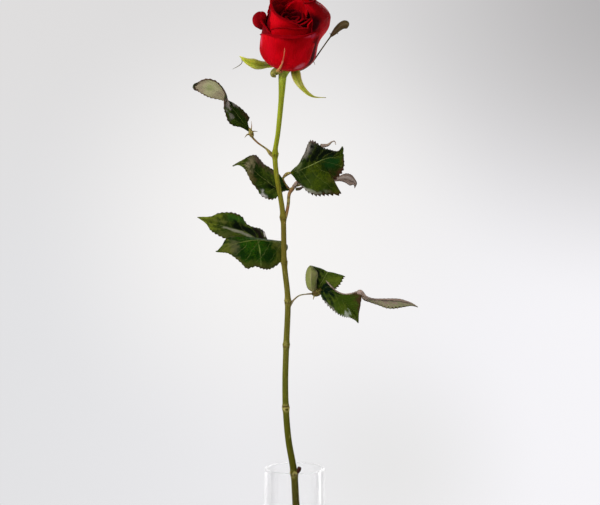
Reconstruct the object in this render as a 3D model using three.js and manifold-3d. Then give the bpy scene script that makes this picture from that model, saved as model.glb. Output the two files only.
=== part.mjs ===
// One cut rose standing in a clear cylinder bud vase that holds water.
// Units are millimetres. +Z is up, and the origin is the centre of the vase's flat foot.
// The rose is seen from the front, along +Y, with +X to the right. Its stem leans on the
// front of the rim, carries four compound leaves and ends in a bloom that nods forward.

import * as THREE from "three";
import { mergeVertices } from "three/addons/utils/BufferGeometryUtils.js";
import Module from "manifold-3d";

const wasm = await Module();
wasm.setup();

// ---------------------------------------------------------------- driving dimensions

const GAP = 0.3; // left between pieces that touch
const LEAF_THICKNESS = 0.7;
const PETAL_THICKNESS = 0.9;

const VASE = { radius: 24, wall: 3.2, height: 200, floor: 10, facets: 40 };
const WATER = { level: 122, meniscus: 1.2, facets: 32 };

// The main stem as [x, y, z, radius] from the cut end to the neck under the bloom.
const STEM = [
  [13.2, 3.0, 14, 3.0],
  [9.6, -3.0, 70, 3.0],
  [4.6, -9.2, 130, 2.9],
  [1.0, -14.0, 173.6, 2.8],
  [-0.6, -17.2, 200, 2.7],
  [-4.8, -20.4, 226, 2.5],
  [-6.8, -23.0, 251, 2.4],
  [-7.2, -25.5, 273.5, 2.3],
  [-6.4, -28.0, 301, 2.3],
  [-5.2, -31.0, 336, 2.2],
  [-7.9, -33.0, 365, 2.1],
  [-8.8, -35.0, 401, 2.0],
  [-13.6, -36.5, 431.5, 1.9],
  [-14.7, -37.0, 448, 1.9],
  [-12.5, -37.8, 463, 1.8],
  [-10.0, -38.5, 488, 2.1],
  [-9.0, -39.0, 506, 3.1],
];
const STEM_SIDES = 10;
const STEM_CUT = { top: 506, tip: VASE.floor + GAP, slant: 0.7 };

// Swollen nodes and old leaf scars on the stem: height and how far they stand out.
const STEM_NODES = [
  [92, 0.8],
  [199, 0.9],
  [251, 0.8],
  [301, 0.7],
  [335, 0.5],
  [365, 0.5],
  [399, 0.7],
  [447, 0.8],
];
const NODE_LENGTH = 2.6; // half height of a swelling

// The bloom's base on the stem, and how far its axis runs right and forward per unit up.
const BLOOM = { base: [-8.6, -39.6, 512.3], tilt: [0.24, -0.42] };

// ---------------------------------------------------------------- closed solids

const degrees = Math.PI / 180;
const point = ([x, y, z]) => new THREE.Vector3(x, y, z);
const mix = (a, b, share) => a + (b - a) * share;
const clamp01 = (value) => Math.min(1, Math.max(0, value));
const range = (count) => Array.from({ length: count }, (_, i) => i);

function geometryOf(vertices, triangles) {
  const geometry = new THREE.BufferGeometry();
  geometry.setFromPoints(vertices);
  geometry.setIndex(triangles);
  return geometry;
}

// A three.js geometry as a manifold-3d solid, with its shared vertices merged.
function solidOf(geometry) {
  const bare = geometry.clone();
  bare.deleteAttribute("normal");
  bare.deleteAttribute("uv");
  const merged = mergeVertices(bare, 1e-4);
  return new wasm.Manifold(
    new wasm.Mesh({
      numProp: 3,
      vertProperties: merged.attributes.position.array,
      triVerts: new Uint32Array(merged.index.array),
    }),
  );
}

function geometryOfSolid(solid) {
  const mesh = solid.getMesh();
  const geometry = new THREE.BufferGeometry();
  geometry.setAttribute("position", new THREE.BufferAttribute(mesh.vertProperties, 3));
  geometry.setIndex(new THREE.BufferAttribute(mesh.triVerts, 1));
  return geometry;
}

// Several closed geometries joined as they grew, as one body: a hollow that the joining
// seals is filled, and a loose scrap is dropped.
function grownTogether(geometries) {
  const joined = geometries.map(solidOf).reduce((whole, next) => whole.add(next));
  const bodies = joined.decompose().sort((a, b) => b.volume() - a.volume());
  return geometryOfSolid(bodies[0]);
}

// A closed body through rings of points, each ring the same length, with flat ends.
function loft(rings) {
  const sides = rings[0].length;
  const vertices = rings.flat();
  const triangles = [];
  for (let ring = 0; ring + 1 < rings.length; ring++) {
    for (let side = 0; side < sides; side++) {
      const next = (side + 1) % sides;
      const [a, b] = [ring * sides + side, ring * sides + next];
      triangles.push(a, b, b + sides, a, b + sides, a + sides);
    }
  }
  const last = (rings.length - 1) * sides;
  for (let side = 1; side + 1 < sides; side++) {
    triangles.push(0, side + 1, side, last, last + side, last + side + 1);
  }
  return geometryOf(vertices, triangles);
}

// A thin closed blade on a grid of points. Both faces are split along the same diagonals,
// so that they never cross where the blade waves.
function blade(rows, thickness) {
  const [rowCount, columnCount] = [rows.length, rows[0].length];
  const at = (i, j) =>
    rows[Math.min(rowCount - 1, Math.max(0, i))][Math.min(columnCount - 1, Math.max(0, j))];
  const [upper, lower] = [[], []];
  for (let i = 0; i < rowCount; i++) {
    for (let j = 0; j < columnCount; j++) {
      const along = at(i + 1, j).clone().sub(at(i - 1, j));
      const across = at(i, j + 1).clone().sub(at(i, j - 1));
      const offset = along.cross(across).setLength(thickness / 2);
      upper.push(rows[i][j].clone().add(offset));
      lower.push(rows[i][j].clone().sub(offset));
    }
  }
  const under = upper.length;
  const triangles = [];
  const index = (i, j) => i * columnCount + j;
  for (let i = 0; i + 1 < rowCount; i++) {
    for (let j = 0; j + 1 < columnCount; j++) {
      const [a, b, c, d] = [index(i, j), index(i + 1, j), index(i + 1, j + 1), index(i, j + 1)];
      triangles.push(a, b, c, a, c, d);
      triangles.push(a + under, c + under, b + under, a + under, d + under, c + under);
    }
  }
  const edge = [
    ...range(rowCount - 1).map((i) => index(i, 0)),
    ...range(columnCount - 1).map((j) => index(rowCount - 1, j)),
    ...range(rowCount - 1).map((i) => index(rowCount - 1 - i, columnCount - 1)),
    ...range(columnCount - 1).map((j) => index(0, columnCount - 1 - j)),
  ];
  edge.forEach((a, k) => {
    const b = edge[(k + 1) % edge.length];
    triangles.push(a, b + under, b, a, a + under, b + under);
  });
  return geometryOf([...upper, ...lower], triangles);
}

// ---------------------------------------------------------------- the vase and its water

// Revolves a profile of [radius, height] pairs round the vase's axis.
function turned(profile, facets) {
  const points = profile.map(([radius, height]) => new THREE.Vector2(radius, height));
  return new THREE.LatheGeometry(points, facets).rotateX(Math.PI / 2);
}

function arc(centre, radius, from, to, steps) {
  return range(steps + 1).map((i) => {
    const angle = mix(from, to, i / steps) * degrees;
    return [centre[0] + radius * Math.cos(angle), centre[1] + radius * Math.sin(angle)];
  });
}

function vaseGeometry() {
  const { radius, wall, height, floor, facets } = VASE;
  const [inner, lip, heel, corner] = [radius - wall, wall / 2, 1.5, 3];
  const profile = [
    [0, 0],
    ...arc([radius - heel, heel], heel, -90, 0, 2),
    ...arc([radius - lip, height - lip], lip, 0, 180, 4),
    ...arc([inner - corner, floor + corner], corner, 0, -90, 2),
    [0, floor],
  ];
  return turned(profile, facets);
}

function waterSolid() {
  const inner = VASE.radius - VASE.wall - 1.4 * GAP;
  const corner = 3;
  const foot = VASE.floor + GAP;
  const profile = [
    [0, foot],
    ...arc([inner - corner, foot + corner], corner, -90, 0, 2),
    [inner, WATER.level + WATER.meniscus],
    [inner - 1.5, WATER.level],
    [0, WATER.level],
  ];
  const hole = stemSolid(GAP);
  return solidOf(turned(profile, WATER.facets)).subtract(hole);
}

// ---------------------------------------------------------------- the stem

const stemLine = new THREE.CatmullRomCurve3(STEM.map(point), false, "catmullrom", 0.5);

// The stem's centre and radius at a height.
function stemAt(height) {
  let [low, high] = [0, 1];
  for (let i = 0; i < 40; i++) {
    const middle = (low + high) / 2;
    if (stemLine.getPoint(middle).z < height) low = middle;
    else high = middle;
  }
  const place = low * (STEM.length - 1);
  const before = Math.min(STEM.length - 2, Math.floor(place));
  const radius = mix(STEM[before][3], STEM[before + 1][3], place - before);
  const swelling = STEM_NODES.reduce(
    (sum, [z, bump]) => sum + bump * Math.exp(-(((height - z) / NODE_LENGTH) ** 2)),
    0,
  );
  return { centre: stemLine.getPoint(low), radius: radius + swelling };
}

// The stem as a stack of level rings. Its foot is cut on the slant, as florists cut it.
// With a clearance, the same stack is the hole that it needs in the water.
function stemSolid(clearance = 0) {
  const { tip, top, slant } = STEM_CUT;
  const start = tip + slant * STEM[0][3];
  const plain = range(24).map((i) => mix(start, top, i / 23));
  const atNodes = STEM_NODES.flatMap(([z]) => [-3.8, -1.3, 1.3, 3.8].map((dz) => z + dz));
  const heights = [...plain, ...atNodes].filter((z) => z >= start && z <= top);
  const levels = heights.sort((a, b) => a - b).filter((z, i, all) => !i || z - all[i - 1] > 1.5);
  const rings = levels.map((z, level) => {
    const { centre, radius } = stemAt(z);
    return range(STEM_SIDES).map((side) => {
      const angle = (side / STEM_SIDES) * 2 * Math.PI;
      const [dx, dy] = [Math.cos(angle), Math.sin(angle)].map((c) => c * (radius + clearance));
      const drop = level === 0 ? slant * dx - 2 * clearance : 0;
      return new THREE.Vector3(centre.x + dx, centre.y + dy, z + drop);
    });
  });
  return solidOf(loft(rings));
}

// The plump side bud in the axil of the scar at the vase's rim.
function sideBud() {
  const path = [
    [0.6, -17.3, 198.5],
    [2.3, -17.4, 201.2],
    [3.0, -17.5, 203.6],
    [3.3, -17.5, 205.6],
  ];
  return stalk(path, [1.0, 1.5, 1.4, 0.4], 6);
}

// A round stalk through points, with a radius at each of them.
function stalk(path, radii, sides = 6) {
  const curve = new THREE.CatmullRomCurve3(path.map(point), false, "catmullrom", 0.5);
  const steps = 3 * (path.length - 1);
  const frames = curve.computeFrenetFrames(steps, false);
  const rings = range(steps + 1).map((i) => {
    const centre = curve.getPointAt(i / steps);
    const place = (i / steps) * (radii.length - 1);
    const before = Math.min(radii.length - 2, Math.floor(place));
    const radius = mix(radii[before], radii[before + 1], place - before);
    return range(sides).map((side) => {
      const angle = (side / sides) * 2 * Math.PI;
      return centre
        .clone()
        .addScaledVector(frames.normals[i], radius * Math.cos(angle))
        .addScaledVector(frames.binormals[i], radius * Math.sin(angle));
    });
  });
  return loft(rings);
}

// ---------------------------------------------------------------- leaves and sepals

// The blade of a leaflet or sepal. Each station on its midrib is
// [x, y, z, turn, left, right]: the place, how far the blade is turned about the midrib,
// with 0 facing the front, and the widths of its two halves as seen from the stalk. A half
// rises from the midrib at its fold and bends along an arc by its curl, both in degrees.
function leafBlade({ stations, fold = [0, 0], curl = [0, 0], ...more }) {
  const { wave = 0, waves = 2, teeth = 8, tooth = 1.1, columns = 2 } = more;
  const curveThrough = (points) => new THREE.CatmullRomCurve3(points, false, "catmullrom", 0.5);
  const midrib = curveThrough(stations.map(([x, y, z]) => new THREE.Vector3(x, y, z)));
  const shape = curveThrough(stations.map(([, , , ...rest]) => new THREE.Vector3(...rest)));
  const levels = teeth
    ? [0, ...range(teeth).flatMap((k) => [(k + 0.7) / teeth, (k + 1) / teeth])]
    : range(2 * stations.length - 1).map((i) => i / (2 * stations.length - 2));
  const face = new THREE.Vector3(0, -1, 0);
  const rows = levels.map((t, row) => {
    const centre = midrib.getPoint(t);
    const along = midrib.getTangent(t);
    face.addScaledVector(along, -face.dot(along)).normalize();
    const { x: turn, y: left, z: right } = shape.getPoint(t);
    const up = face.clone().applyAxisAngle(along, -turn * degrees);
    const side = along.clone().cross(up);
    const notch = teeth && row % 2 === 0 ? tooth : 0;
    return range(2 * columns + 1).map((column) => {
      const across = column / columns - 1;
      const which = across < 0 ? 0 : 1;
      const share = Math.abs(across);
      const width = Math.max(0.35, [left, right][which] - notch);
      const bend = curl[which] * share * 0.5 * degrees;
      const angle = fold[which] * degrees + bend;
      const reach = width * share * (bend ? Math.sin(bend) / bend : 1);
      const fade = Math.min(1, width / 8);
      const ripple = wave * fade * share ** 2 * Math.sin(2 * Math.PI * waves * t + 2 * which);
      return centre
        .clone()
        .addScaledVector(side, Math.sign(across) * reach * Math.cos(angle))
        .addScaledVector(up, reach * Math.sin(angle) + ripple);
    });
  });
  return blade(rows, LEAF_THICKNESS);
}

// Each compound leaf is one body: its stalk, the stalks of its leaflets and their blades.

function leafUpperLeft() {
  const stalks = [
    stalk(
      [
        [-17.6, -38.0, 449.8],
        [-23.0, -40.0, 454.2],
        [-28.9, -41.5, 458.0],
        [-32.7, -42.0, 460.7],
        [-34.8, -42.5, 466.5],
      ],
      [1.1, 0.9, 0.8, 0.9, 0.6],
    ),
    stalk([[-33.0, -42, 461.5], [-36.6, -43, 459.6], [-38.4, -43, 457.6]], [0.8, 0.5, 0.3]),
    stalk([[-33.6, -42, 463.0], [-30.6, -42, 464.4], [-28.6, -42, 464.4]], [0.8, 0.5, 0.3]),
  ];
  const end = leafBlade({
    stations: [
      [-33.8, -42.2, 464.6, 0, 0.5, 0.5],
      [-39.3, -44.5, 475.4, 0, 10.5, 5.6],
      [-46.0, -46.0, 482.9, 30, 9.5, 5.0],
      [-50.8, -46.0, 488.6, 85, 7.5, 6.5],
      [-54.8, -45.0, 493.6, 150, 4.6, 10.4],
      [-61.7, -43.5, 498.0, 178, 5.8, 11.0],
      [-69.0, -42.0, 498.6, 182, 4.6, 9.4],
      [-75.9, -40.0, 496.9, 182, 0.9, 1.2],
    ],
    fold: [8, 14],
    curl: [12, 16],
    teeth: 10,
  });
  return grownTogether([...stalks, end]);
}

function leafRight() {
  const stalks = [
    stalk(
      [
        [-4.7, -34.2, 399.0],
        [-5.2, -33.2, 408.6],
        [-3.7, -32.5, 416.6],
        [-1.1, -32.0, 422.0],
        [1.2, -32.4, 425.2],
        [-0.2, -35.0, 429.4],
        [-0.4, -37.4, 433.4],
      ],
      [1.1, 1.3, 1.3, 1.2, 1.1, 0.8, 0.7],
    ),
    stalk([[-1.1, -32, 422.4], [5.0, -27, 424.4], [12.5, -23, 426.4]], [0.8, 0.7, 0.6]),
    stalk([[-0.6, -31.8, 422.8], [-2.6, -30.4, 421.4], [-5.0, -29.8, 420.8]], [0.9, 0.8, 0.7]),
  ];
  const left = leafBlade({
    stations: [
      [-3.6, -30.2, 420.0, 0, 0.5, 0.5],
      [-11.1, -27.8, 422.6, 0, 11.0, 6.5],
      [-20.2, -26.0, 427.0, 0, 12.6, 9.6],
      [-28.6, -25.0, 432.3, 5, 8.0, 9.6],
      [-34.6, -26.5, 437.6, 10, 5.5, 7.8],
      [-40.0, -29.0, 439.8, 10, 3.5, 3.0],
      [-46.5, -33.0, 438.0, 10, 0.5, 0.5],
    ],
    fold: [4, 22],
    curl: [10, -50],
    wave: 0.8,
  });
  const end = leafBlade({
    stations: [
      [-2.0, -37.0, 433.0, 0, 0.6, 0.6],
      [6.3, -40.5, 436.6, 0, 6.5, 20.0],
      [14.6, -44.0, 440.5, 0, 18.5, 27.2],
      [22.8, -45.5, 443.6, 0, 12.5, 28.6],
      [30.3, -44.0, 445.8, 0, 8.0, 29.5],
      [35.8, -39.0, 446.8, 0, 8.0, 14.0],
      [35.6, -31.0, 445.6, 0, 5.0, 9.0],
      [31.0, -26.0, 442.0, 0, 0.5, 0.5],
    ],
    fold: [30, 6],
    curl: [-70, -18],
    wave: 1.6,
    waves: 3,
    teeth: 11,
    columns: 3,
  });
  const far = leafBlade({
    stations: [
      [12.0, -23.0, 426.4, 60, 0.5, 0.5],
      [19.0, -22.0, 427.4, 80, 8.0, 8.0],
      [27.5, -20.5, 428.2, 110, 10.0, 10.0],
      [36.0, -20.0, 428.0, 135, 8.0, 8.0],
      [42.4, -21.0, 426.6, 135, 5.0, 5.0],
      [46.9, -23.0, 422.0, 130, 0.5, 0.5],
    ],
    fold: [18, 18],
  });
  return grownTogether([...stalks, left, end, far]);
}

function leafLeft() {
  const stalks = [
    stalk(
      [
        [-8.0, -29.3, 364.6],
        [-8.2, -26.0, 369.5],
        [-8.6, -23.0, 375.6],
        [-12.0, -22.0, 378.2],
        [-19.0, -22.6, 378.6],
        [-24.0, -23.4, 381.4],
      ],
      [1.2, 1.1, 1.0, 0.9, 0.8, 0.7],
    ),
  ];
  const upper = leafBlade({
    stations: [
      [-22.0, -23.0, 379.8, 0, 0.6, 0.6],
      [-28.0, -23.5, 385.2, 0, 9.0, 5.2],
      [-35.6, -24.5, 388.2, 0, 12.0, 5.0],
      [-44.6, -26.0, 389.6, 0, 12.4, 11.0],
      [-53.6, -29.0, 391.6, 0, 9.6, 13.0],
      [-63.3, -32.5, 394.8, 0, 5.8, 6.4],
      [-73.2, -36.0, 399.4, 0, 0.5, 0.5],
    ],
    fold: [14, 14],
    curl: [-30, -10],
    wave: 0.9,
    teeth: 9,
  });
  const lower = leafBlade({
    stations: [
      [-7.9, -23.0, 377.6, 0, 14.0, 5.0],
      [-15.7, -31.0, 381.0, 0, 23.5, 12.0],
      [-24.7, -36.0, 382.2, 0, 24.0, 14.0],
      [-33.7, -38.5, 382.0, 0, 22.5, 13.0],
      [-42.0, -39.5, 380.8, 0, 18.0, 9.0],
      [-50.3, -39.0, 377.6, 0, 8.4, 5.0],
      [-58.9, -38.0, 373.9, 0, 0.5, 0.5],
    ],
    fold: [4, -125],
    curl: [-16, 20],
    wave: 1.2,
    waves: 3,
    teeth: 10,
    columns: 3,
  });
  return grownTogether([...stalks, upper, lower]);
}

function leafLowerRight() {
  const stalks = [
    stalk(
      [
        [-1.5, -31.4, 335.2],
        [1.6, -32.6, 338.8],
        [6.3, -34.0, 340.5],
        [16.2, -35.0, 342.5],
        [20.5, -36.4, 344.6],
      ],
      [0.9, 0.8, 0.8, 1.1, 0.7],
    ),
    stalk(
      [
        [17.0, -34.6, 342.8],
        [26.9, -33, 344.6],
        [40.0, -31.4, 343.6],
        [51.6, -31.4, 340.0],
      ],
      [0.8, 0.7, 0.7, 0.6],
    ),
  ];
  const folded = leafBlade({
    stations: [
      [18.6, -35.5, 343.6, 0, 0.6, 0.6],
      [20.8, -36.6, 349.2, 0, 9.0, 10.4],
      [22.8, -37.2, 354.2, 0, 12.0, 14.0],
      [24.2, -36.0, 357.6, 0, 13.2, 15.2],
      [24.6, -32.0, 357.2, 0, 13.0, 14.6],
      [25.0, -30.0, 351.6, 0, 10.0, 11.0],
      [28.0, -29.0, 346.0, 0, 6.0, 7.0],
      [31.4, -28.6, 341.0, 0, 0.5, 0.5],
    ],
    fold: [-6, 4],
    teeth: 9,
  });
  const rolled = leafBlade({
    stations: [
      [15.0, -36.2, 342.4, 175, 0.5, 0.5],
      [12.6, -40.6, 347.6, 175, 6.4, 4.6],
      [11.6, -41.6, 353.0, 175, 8.0, 4.0],
      [11.9, -40.6, 358.6, 175, 5.6, 2.6],
      [12.9, -37.6, 361.8, 175, 0.6, 0.6],
    ],
    fold: [16, 14],
    curl: [30, 30],
    teeth: 6,
    tooth: 0.6,
  });
  const front = leafBlade({
    stations: [
      [17.6, -35.6, 343.0, 0, 0.6, 0.6],
      [23.6, -39.4, 347.0, 0, 4.3, 15.6],
      [30.3, -42.6, 345.0, 0, 5.4, 17.0],
      [37.2, -45.0, 340.0, 0, 9.6, 16.4],
      [43.3, -45.0, 332.4, 0, 9.4, 10.6],
      [48.0, -43.0, 320.3, 0, 0.5, 0.5],
    ],
    fold: [35, 6],
    curl: [-40, -10],
    wave: 1.2,
    teeth: 10,
  });
  const end = leafBlade({
    stations: [
      [50.2, -31.6, 340.6, 180, 0.9, 0.9],
      [58.8, -31.0, 336.3, 150, 5.6, 3.4],
      [68.8, -30.0, 335.4, 130, 9.0, 6.0],
      [78.7, -29.5, 334.6, 130, 9.5, 6.2],
      [87.1, -29.0, 333.4, 130, 6.2, 4.0],
      [94.2, -28.0, 330.0, 130, 0.5, 0.5],
    ],
    fold: [6, 6],
    teeth: 9,
    tooth: 0.8,
  });
  return grownTogether([...stalks, folded, rolled, front, end]);
}

// ---------------------------------------------------------------- the bloom

const UP = new THREE.Vector3(0, 0, 1);
const bloomAxis = new THREE.Vector3(BLOOM.tilt[0], BLOOM.tilt[1], 1).normalize();
const bloomTurn = new THREE.Quaternion().setFromUnitVectors(UP, bloomAxis);

// A place round the bloom's axis. Azimuth 0 is to the right and -90 is the front.
function inBloom(azimuth, radius, height) {
  const [across, deep] = [Math.cos(azimuth * degrees), Math.sin(azimuth * degrees)];
  const place = new THREE.Vector3(radius * across, radius * deep, height);
  return place.applyQuaternion(bloomTurn).add(point(BLOOM.base));
}

// Petals from the outside in. close draws the rim in, as a share of the radius; flare turns
// it out, in millimetres; lean takes one side edge outside the petal's own radius; skew
// lifts one end of the rim and dip lowers both, as a share of the height.
const GUARD_PETALS = [
  { azimuth: -98, spread: 66, radius: 22.2, height: 33.5, flare: 1.4, dip: -0.08, skew: 0.1 },
  { azimuth: 172, spread: 50, radius: 22, height: 33, flare: 1.6 },
  { azimuth: -6, spread: 48, radius: 22.2, height: 51, flare: 3.6, lean: -0.9 },
  { azimuth: 116, spread: 56, radius: 22, height: 46, close: 0.05, flare: 2 },
  { azimuth: 50, spread: 56, radius: 22, height: 50, close: 0.05, flare: 2.4 },
];
const SECOND_PETALS = [
  { azimuth: -64, spread: 58, radius: 19.4, height: 41, close: 0.02, flare: 0.6, dip: 0, skew: 0.04 },
  { azimuth: 10, spread: 54, radius: 19.4, height: 49.5, close: 0.08, flare: 1 },
  { azimuth: 82, spread: 54, radius: 19.4, height: 51.5, close: 0.08, flare: 1 },
  { azimuth: 154, spread: 54, radius: 19.6, height: 51, close: 0.08, flare: 1 },
  { azimuth: -136, spread: 60, radius: 19, height: 46, close: 0.04, flare: 0.6, skew: -0.06 },
];
const INNER_WHORLS = [
  { count: 5, first: -98, spread: 56, radius: 16.6, height: 46, close: 0.1, flare: 0.4 },
  { count: 4, first: -50, spread: 64, radius: 13.7, height: 45.5, close: 0.12 },
  { count: 3, first: -110, spread: 80, radius: 10.7, height: 45, close: 0.14 },
  { count: 2, first: -20, spread: 104, radius: 7.4, height: 44.5, close: 0.14 },
];
const PETAL_ROOT = 3; // radius at which the petals spring from the receptacle
const CUP = 15; // height at which the cup of petals is at its full radius
const OUTER_LEVELS = [0, 0.05, 0.15, 0.35, 0.6, 0.8, 0.93, 1];
const INNER_LEVELS = [0.35, 0.65, 0.85, 1];

function petalBlade({ azimuth, spread, radius, height, ...more }, levels, columns) {
  const { close = 0, flare = 0, lean = 0.9, dip = 0.15, skew = 0 } = more;
  const rows = levels.map((level) =>
    range(columns + 1).map((column) => {
      const across = (2 * column) / columns - 1;
      const up = height * level;
      const bowl = Math.sqrt(1 - (1 - Math.min(1, up / CUP)) ** 2);
      const drawn = 1 - close * clamp01((level - 0.5) / 0.5) ** 1.5;
      const turnedOut = flare * clamp01((level - 0.72) / 0.28) ** 2;
      const out = mix(PETAL_ROOT, radius, bowl) * drawn + turnedOut + lean * across * bowl;
      const wide = spread * mix(0.5, 1, Math.sin((Math.PI / 2) * Math.min(1, level / 0.5)));
      const lift = 1 + (skew * across - dip * Math.abs(across) ** 2.5) * level ** 2;
      return inBloom(azimuth + across * wide, out, 1 + up * lift - 0.3 * turnedOut);
    }),
  );
  return blade(rows, PETAL_THICKNESS);
}

function bloomGeometry() {
  const outer = [...GUARD_PETALS, ...SECOND_PETALS].map((petal) =>
    petalBlade(petal, OUTER_LEVELS, 6),
  );
  const inner = INNER_WHORLS.flatMap(({ count, first, ...petal }) =>
    range(count).map((i) =>
      petalBlade({ ...petal, azimuth: first + (360 / count) * i }, INNER_LEVELS, 4),
    ),
  );
  const heart = turned(
    [
      [0, 1.5 * GAP],
      [5, 1.5 * GAP],
      [10, 2.5],
      [14, 6.5],
      [16.4, 13],
      [16.4, 26],
      [13.6, 34],
      [7.6, 38.5],
      [0, 40],
    ],
    12,
  );
  heart.applyQuaternion(bloomTurn).translate(...BLOOM.base);
  // The rolled tip of the left guard petal shows its face to the front.
  const rolledTip = leafBlade({
    stations: [
      [-23.4, -52.0, 534.0, 0, 2.6, 2.6],
      [-24.6, -55.0, 539.4, 0, 2.2, 2.2],
      [-25.6, -56.6, 543.6, 0, 4.8, 4.8],
      [-26.4, -57.0, 548.0, 0, 5.2, 5.2],
      [-26.9, -56.0, 552.6, 0, 1.6, 1.6],
    ],
    fold: [12, 12],
    curl: [-40, -40],
    teeth: 0,
  });
  return grownTogether([heart, ...outer, ...inner, rolledTip]);
}

// The receptacle under the bloom turns from the stem's line to the bloom's axis, and
// carries five sepals.
function calyxGeometry() {
  const foot = stemAt(STEM_CUT.top).centre.setZ(STEM_CUT.top + GAP);
  const steps = [
    [0, 3.0],
    [0.35, 3.9],
    [0.7, 4.8],
    [1, 4.9],
  ];
  const rings = steps.map(([share, radius]) => {
    const centre = foot.clone().lerp(point(BLOOM.base), share);
    const axis = UP.clone().lerp(bloomAxis, share).normalize();
    const turn = new THREE.Quaternion().setFromUnitVectors(UP, axis);
    return range(12).map((side) => {
      const angle = (side / 12) * 2 * Math.PI;
      const spoke = new THREE.Vector3(Math.cos(angle), Math.sin(angle), 0);
      return spoke.multiplyScalar(radius).applyQuaternion(turn).add(centre);
    });
  });
  const onBloom = (azimuth, radius, height, ...rest) => [
    ...inBloom(azimuth, radius, height).toArray(),
    ...rest,
  ];
  const sepals = [
    // out to the left
    [
      [-11.5, -40.5, 509.4, 20, 1.5, 1.5],
      [-22.8, -43.0, 513.2, 20, 3.2, 2.6],
      [-30.2, -45.0, 515.4, 20, 3.8, 2.8],
      [-36.2, -46.0, 517.6, 20, 2.2, 1.6],
      [-40.2, -44.0, 520.2, 20, 0.5, 0.5],
    ],
    // up the front petal
    [
      [-10.0, -42.6, 508.8, 0, 1.5, 1.5],
      onBloom(-112, 12, 0.6, 0, 1.4, 1.4),
      onBloom(-106, 20.5, 5.4, 0, 1.0, 1.0),
      onBloom(-100, 23.4, 12, 0, 0.8, 0.8),
      onBloom(-98, 24.2, 22, 0, 0.5, 0.5),
    ],
    // hanging on the right
    [
      [-6.2, -40.8, 508.6, 10, 1.5, 1.5],
      [0.6, -44.0, 505.8, 20, 3.4, 2.4],
      [4.1, -47.0, 499.6, 30, 3.0, 1.7],
      [8.5, -49.0, 494.5, 30, 1.8, 1.5],
      [14.5, -48.0, 490.9, 30, 1.0, 0.9],
      [23.5, -46.0, 489.6, 30, 0.4, 0.4],
    ],
    // the long one behind the bloom, with its leafy tip
    [
      [-5.6, -37.4, 510.4, 0, 1.4, 1.4],
      [5.0, -27.0, 509.4, 0, 0.9, 0.9],
      [16.0, -21.0, 518.0, 0, 0.5, 0.5],
      [23.4, -19.4, 529.4, 0, 0.7, 0.7],
      [30.4, -19.6, 539.4, 0, 1.9, 1.6],
      [36.6, -20.6, 544.0, 0, 2.8, 2.4],
      [40.6, -22.0, 542.6, 0, 0.8, 0.8],
    ],
    // the stub that is bent back beside the stem
    [
      [-11.6, -42.0, 509.4, 0, 1.8, 1.8],
      [-14.6, -44.0, 508.6, 0, 2.8, 2.4],
      [-15.8, -44.6, 506.0, 0, 2.2, 2.2],
      [-15.2, -44.0, 503.6, 0, 0.6, 0.6],
    ],
  ];
  const blades = sepals.map((stations) =>
    leafBlade({ stations, fold: [22, 22], teeth: 0, columns: 1 }),
  );
  return grownTogether([loft(rings), ...blades]);
}

// ---------------------------------------------------------------- the scene graph

const MATERIALS = {
  glass: { color: 0xf4f7f7, roughness: 0.05, metalness: 0, transparent: true, opacity: 0.3 },
  water: { color: 0xe9f1f2, roughness: 0.02, metalness: 0, transparent: true, opacity: 0.35 },
  stem: { color: 0x6b7a1f, roughness: 0.45, metalness: 0 },
  leaf: { color: 0x26401a, roughness: 0.35, metalness: 0 },
  calyx: { color: 0x7d9434, roughness: 0.5, metalness: 0 },
  petal: { color: 0xa80512, roughness: 0.55, metalness: 0 },
};

const rose = new THREE.Group();

function piece(name, geometry, material) {
  const mesh = new THREE.Mesh(geometry, new THREE.MeshStandardMaterial(MATERIALS[material]));
  mesh.name = name;
  rose.add(mesh);
  return mesh;
}

piece("vase", vaseGeometry(), "glass");
piece("water", geometryOfSolid(waterSolid()), "water");
piece("stem", geometryOfSolid(stemSolid().add(solidOf(sideBud()))), "stem");
piece("leaf_upper_left", leafUpperLeft(), "leaf");
piece("leaf_right", leafRight(), "leaf");
piece("leaf_left", leafLeft(), "leaf");
piece("leaf_lower_right", leafLowerRight(), "leaf");
piece("calyx", calyxGeometry(), "calyx");

piece("bloom", bloomGeometry(), "petal");

export default rose;
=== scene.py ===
# %% [markdown]
# # A rose in a bud vase
# One cut rose stands in a clear glass cylinder with water in it. The stem leans on the rim,
# carries four leaves made of several leaflets, and ends in a bloom that nods forward.
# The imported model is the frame: it says where everything is, in metres, with +Z up and the
# origin at the centre of the vase's foot. Each piece below is a finer one in the same place.

import math

import bmesh
import bpy
import numpy as np
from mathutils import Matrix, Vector, noise


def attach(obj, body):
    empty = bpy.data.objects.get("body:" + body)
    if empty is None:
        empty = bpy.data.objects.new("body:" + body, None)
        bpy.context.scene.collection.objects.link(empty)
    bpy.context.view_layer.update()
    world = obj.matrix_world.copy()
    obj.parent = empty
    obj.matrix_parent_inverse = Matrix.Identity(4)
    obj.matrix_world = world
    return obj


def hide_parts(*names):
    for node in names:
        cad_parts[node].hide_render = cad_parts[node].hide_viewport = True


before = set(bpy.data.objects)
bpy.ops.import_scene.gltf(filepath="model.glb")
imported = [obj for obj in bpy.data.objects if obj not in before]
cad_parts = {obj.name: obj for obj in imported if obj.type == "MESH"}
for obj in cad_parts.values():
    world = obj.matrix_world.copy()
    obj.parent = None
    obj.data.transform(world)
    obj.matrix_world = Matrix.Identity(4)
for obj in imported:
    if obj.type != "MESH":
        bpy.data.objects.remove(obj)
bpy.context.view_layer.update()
MM = 0.001  # the tables below are in millimetres, and Blender works in metres

print("nodes:", sorted(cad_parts))

# %% [markdown]
# ## The camera
# The view looks down by a few degrees from a metre and a half away, so that the vase's rim
# is a thin ellipse and the eye looks a little way into the bloom. A long lens keeps the
# stem's proportions. The frame cuts off the bloom's top and the lower part of the vase.

# %% Camera
CAMERA = {"place": (0.00407, -1.6, 0.52552), "down": 5.58, "lens": 124.62, "sensor": 36.0}

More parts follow.
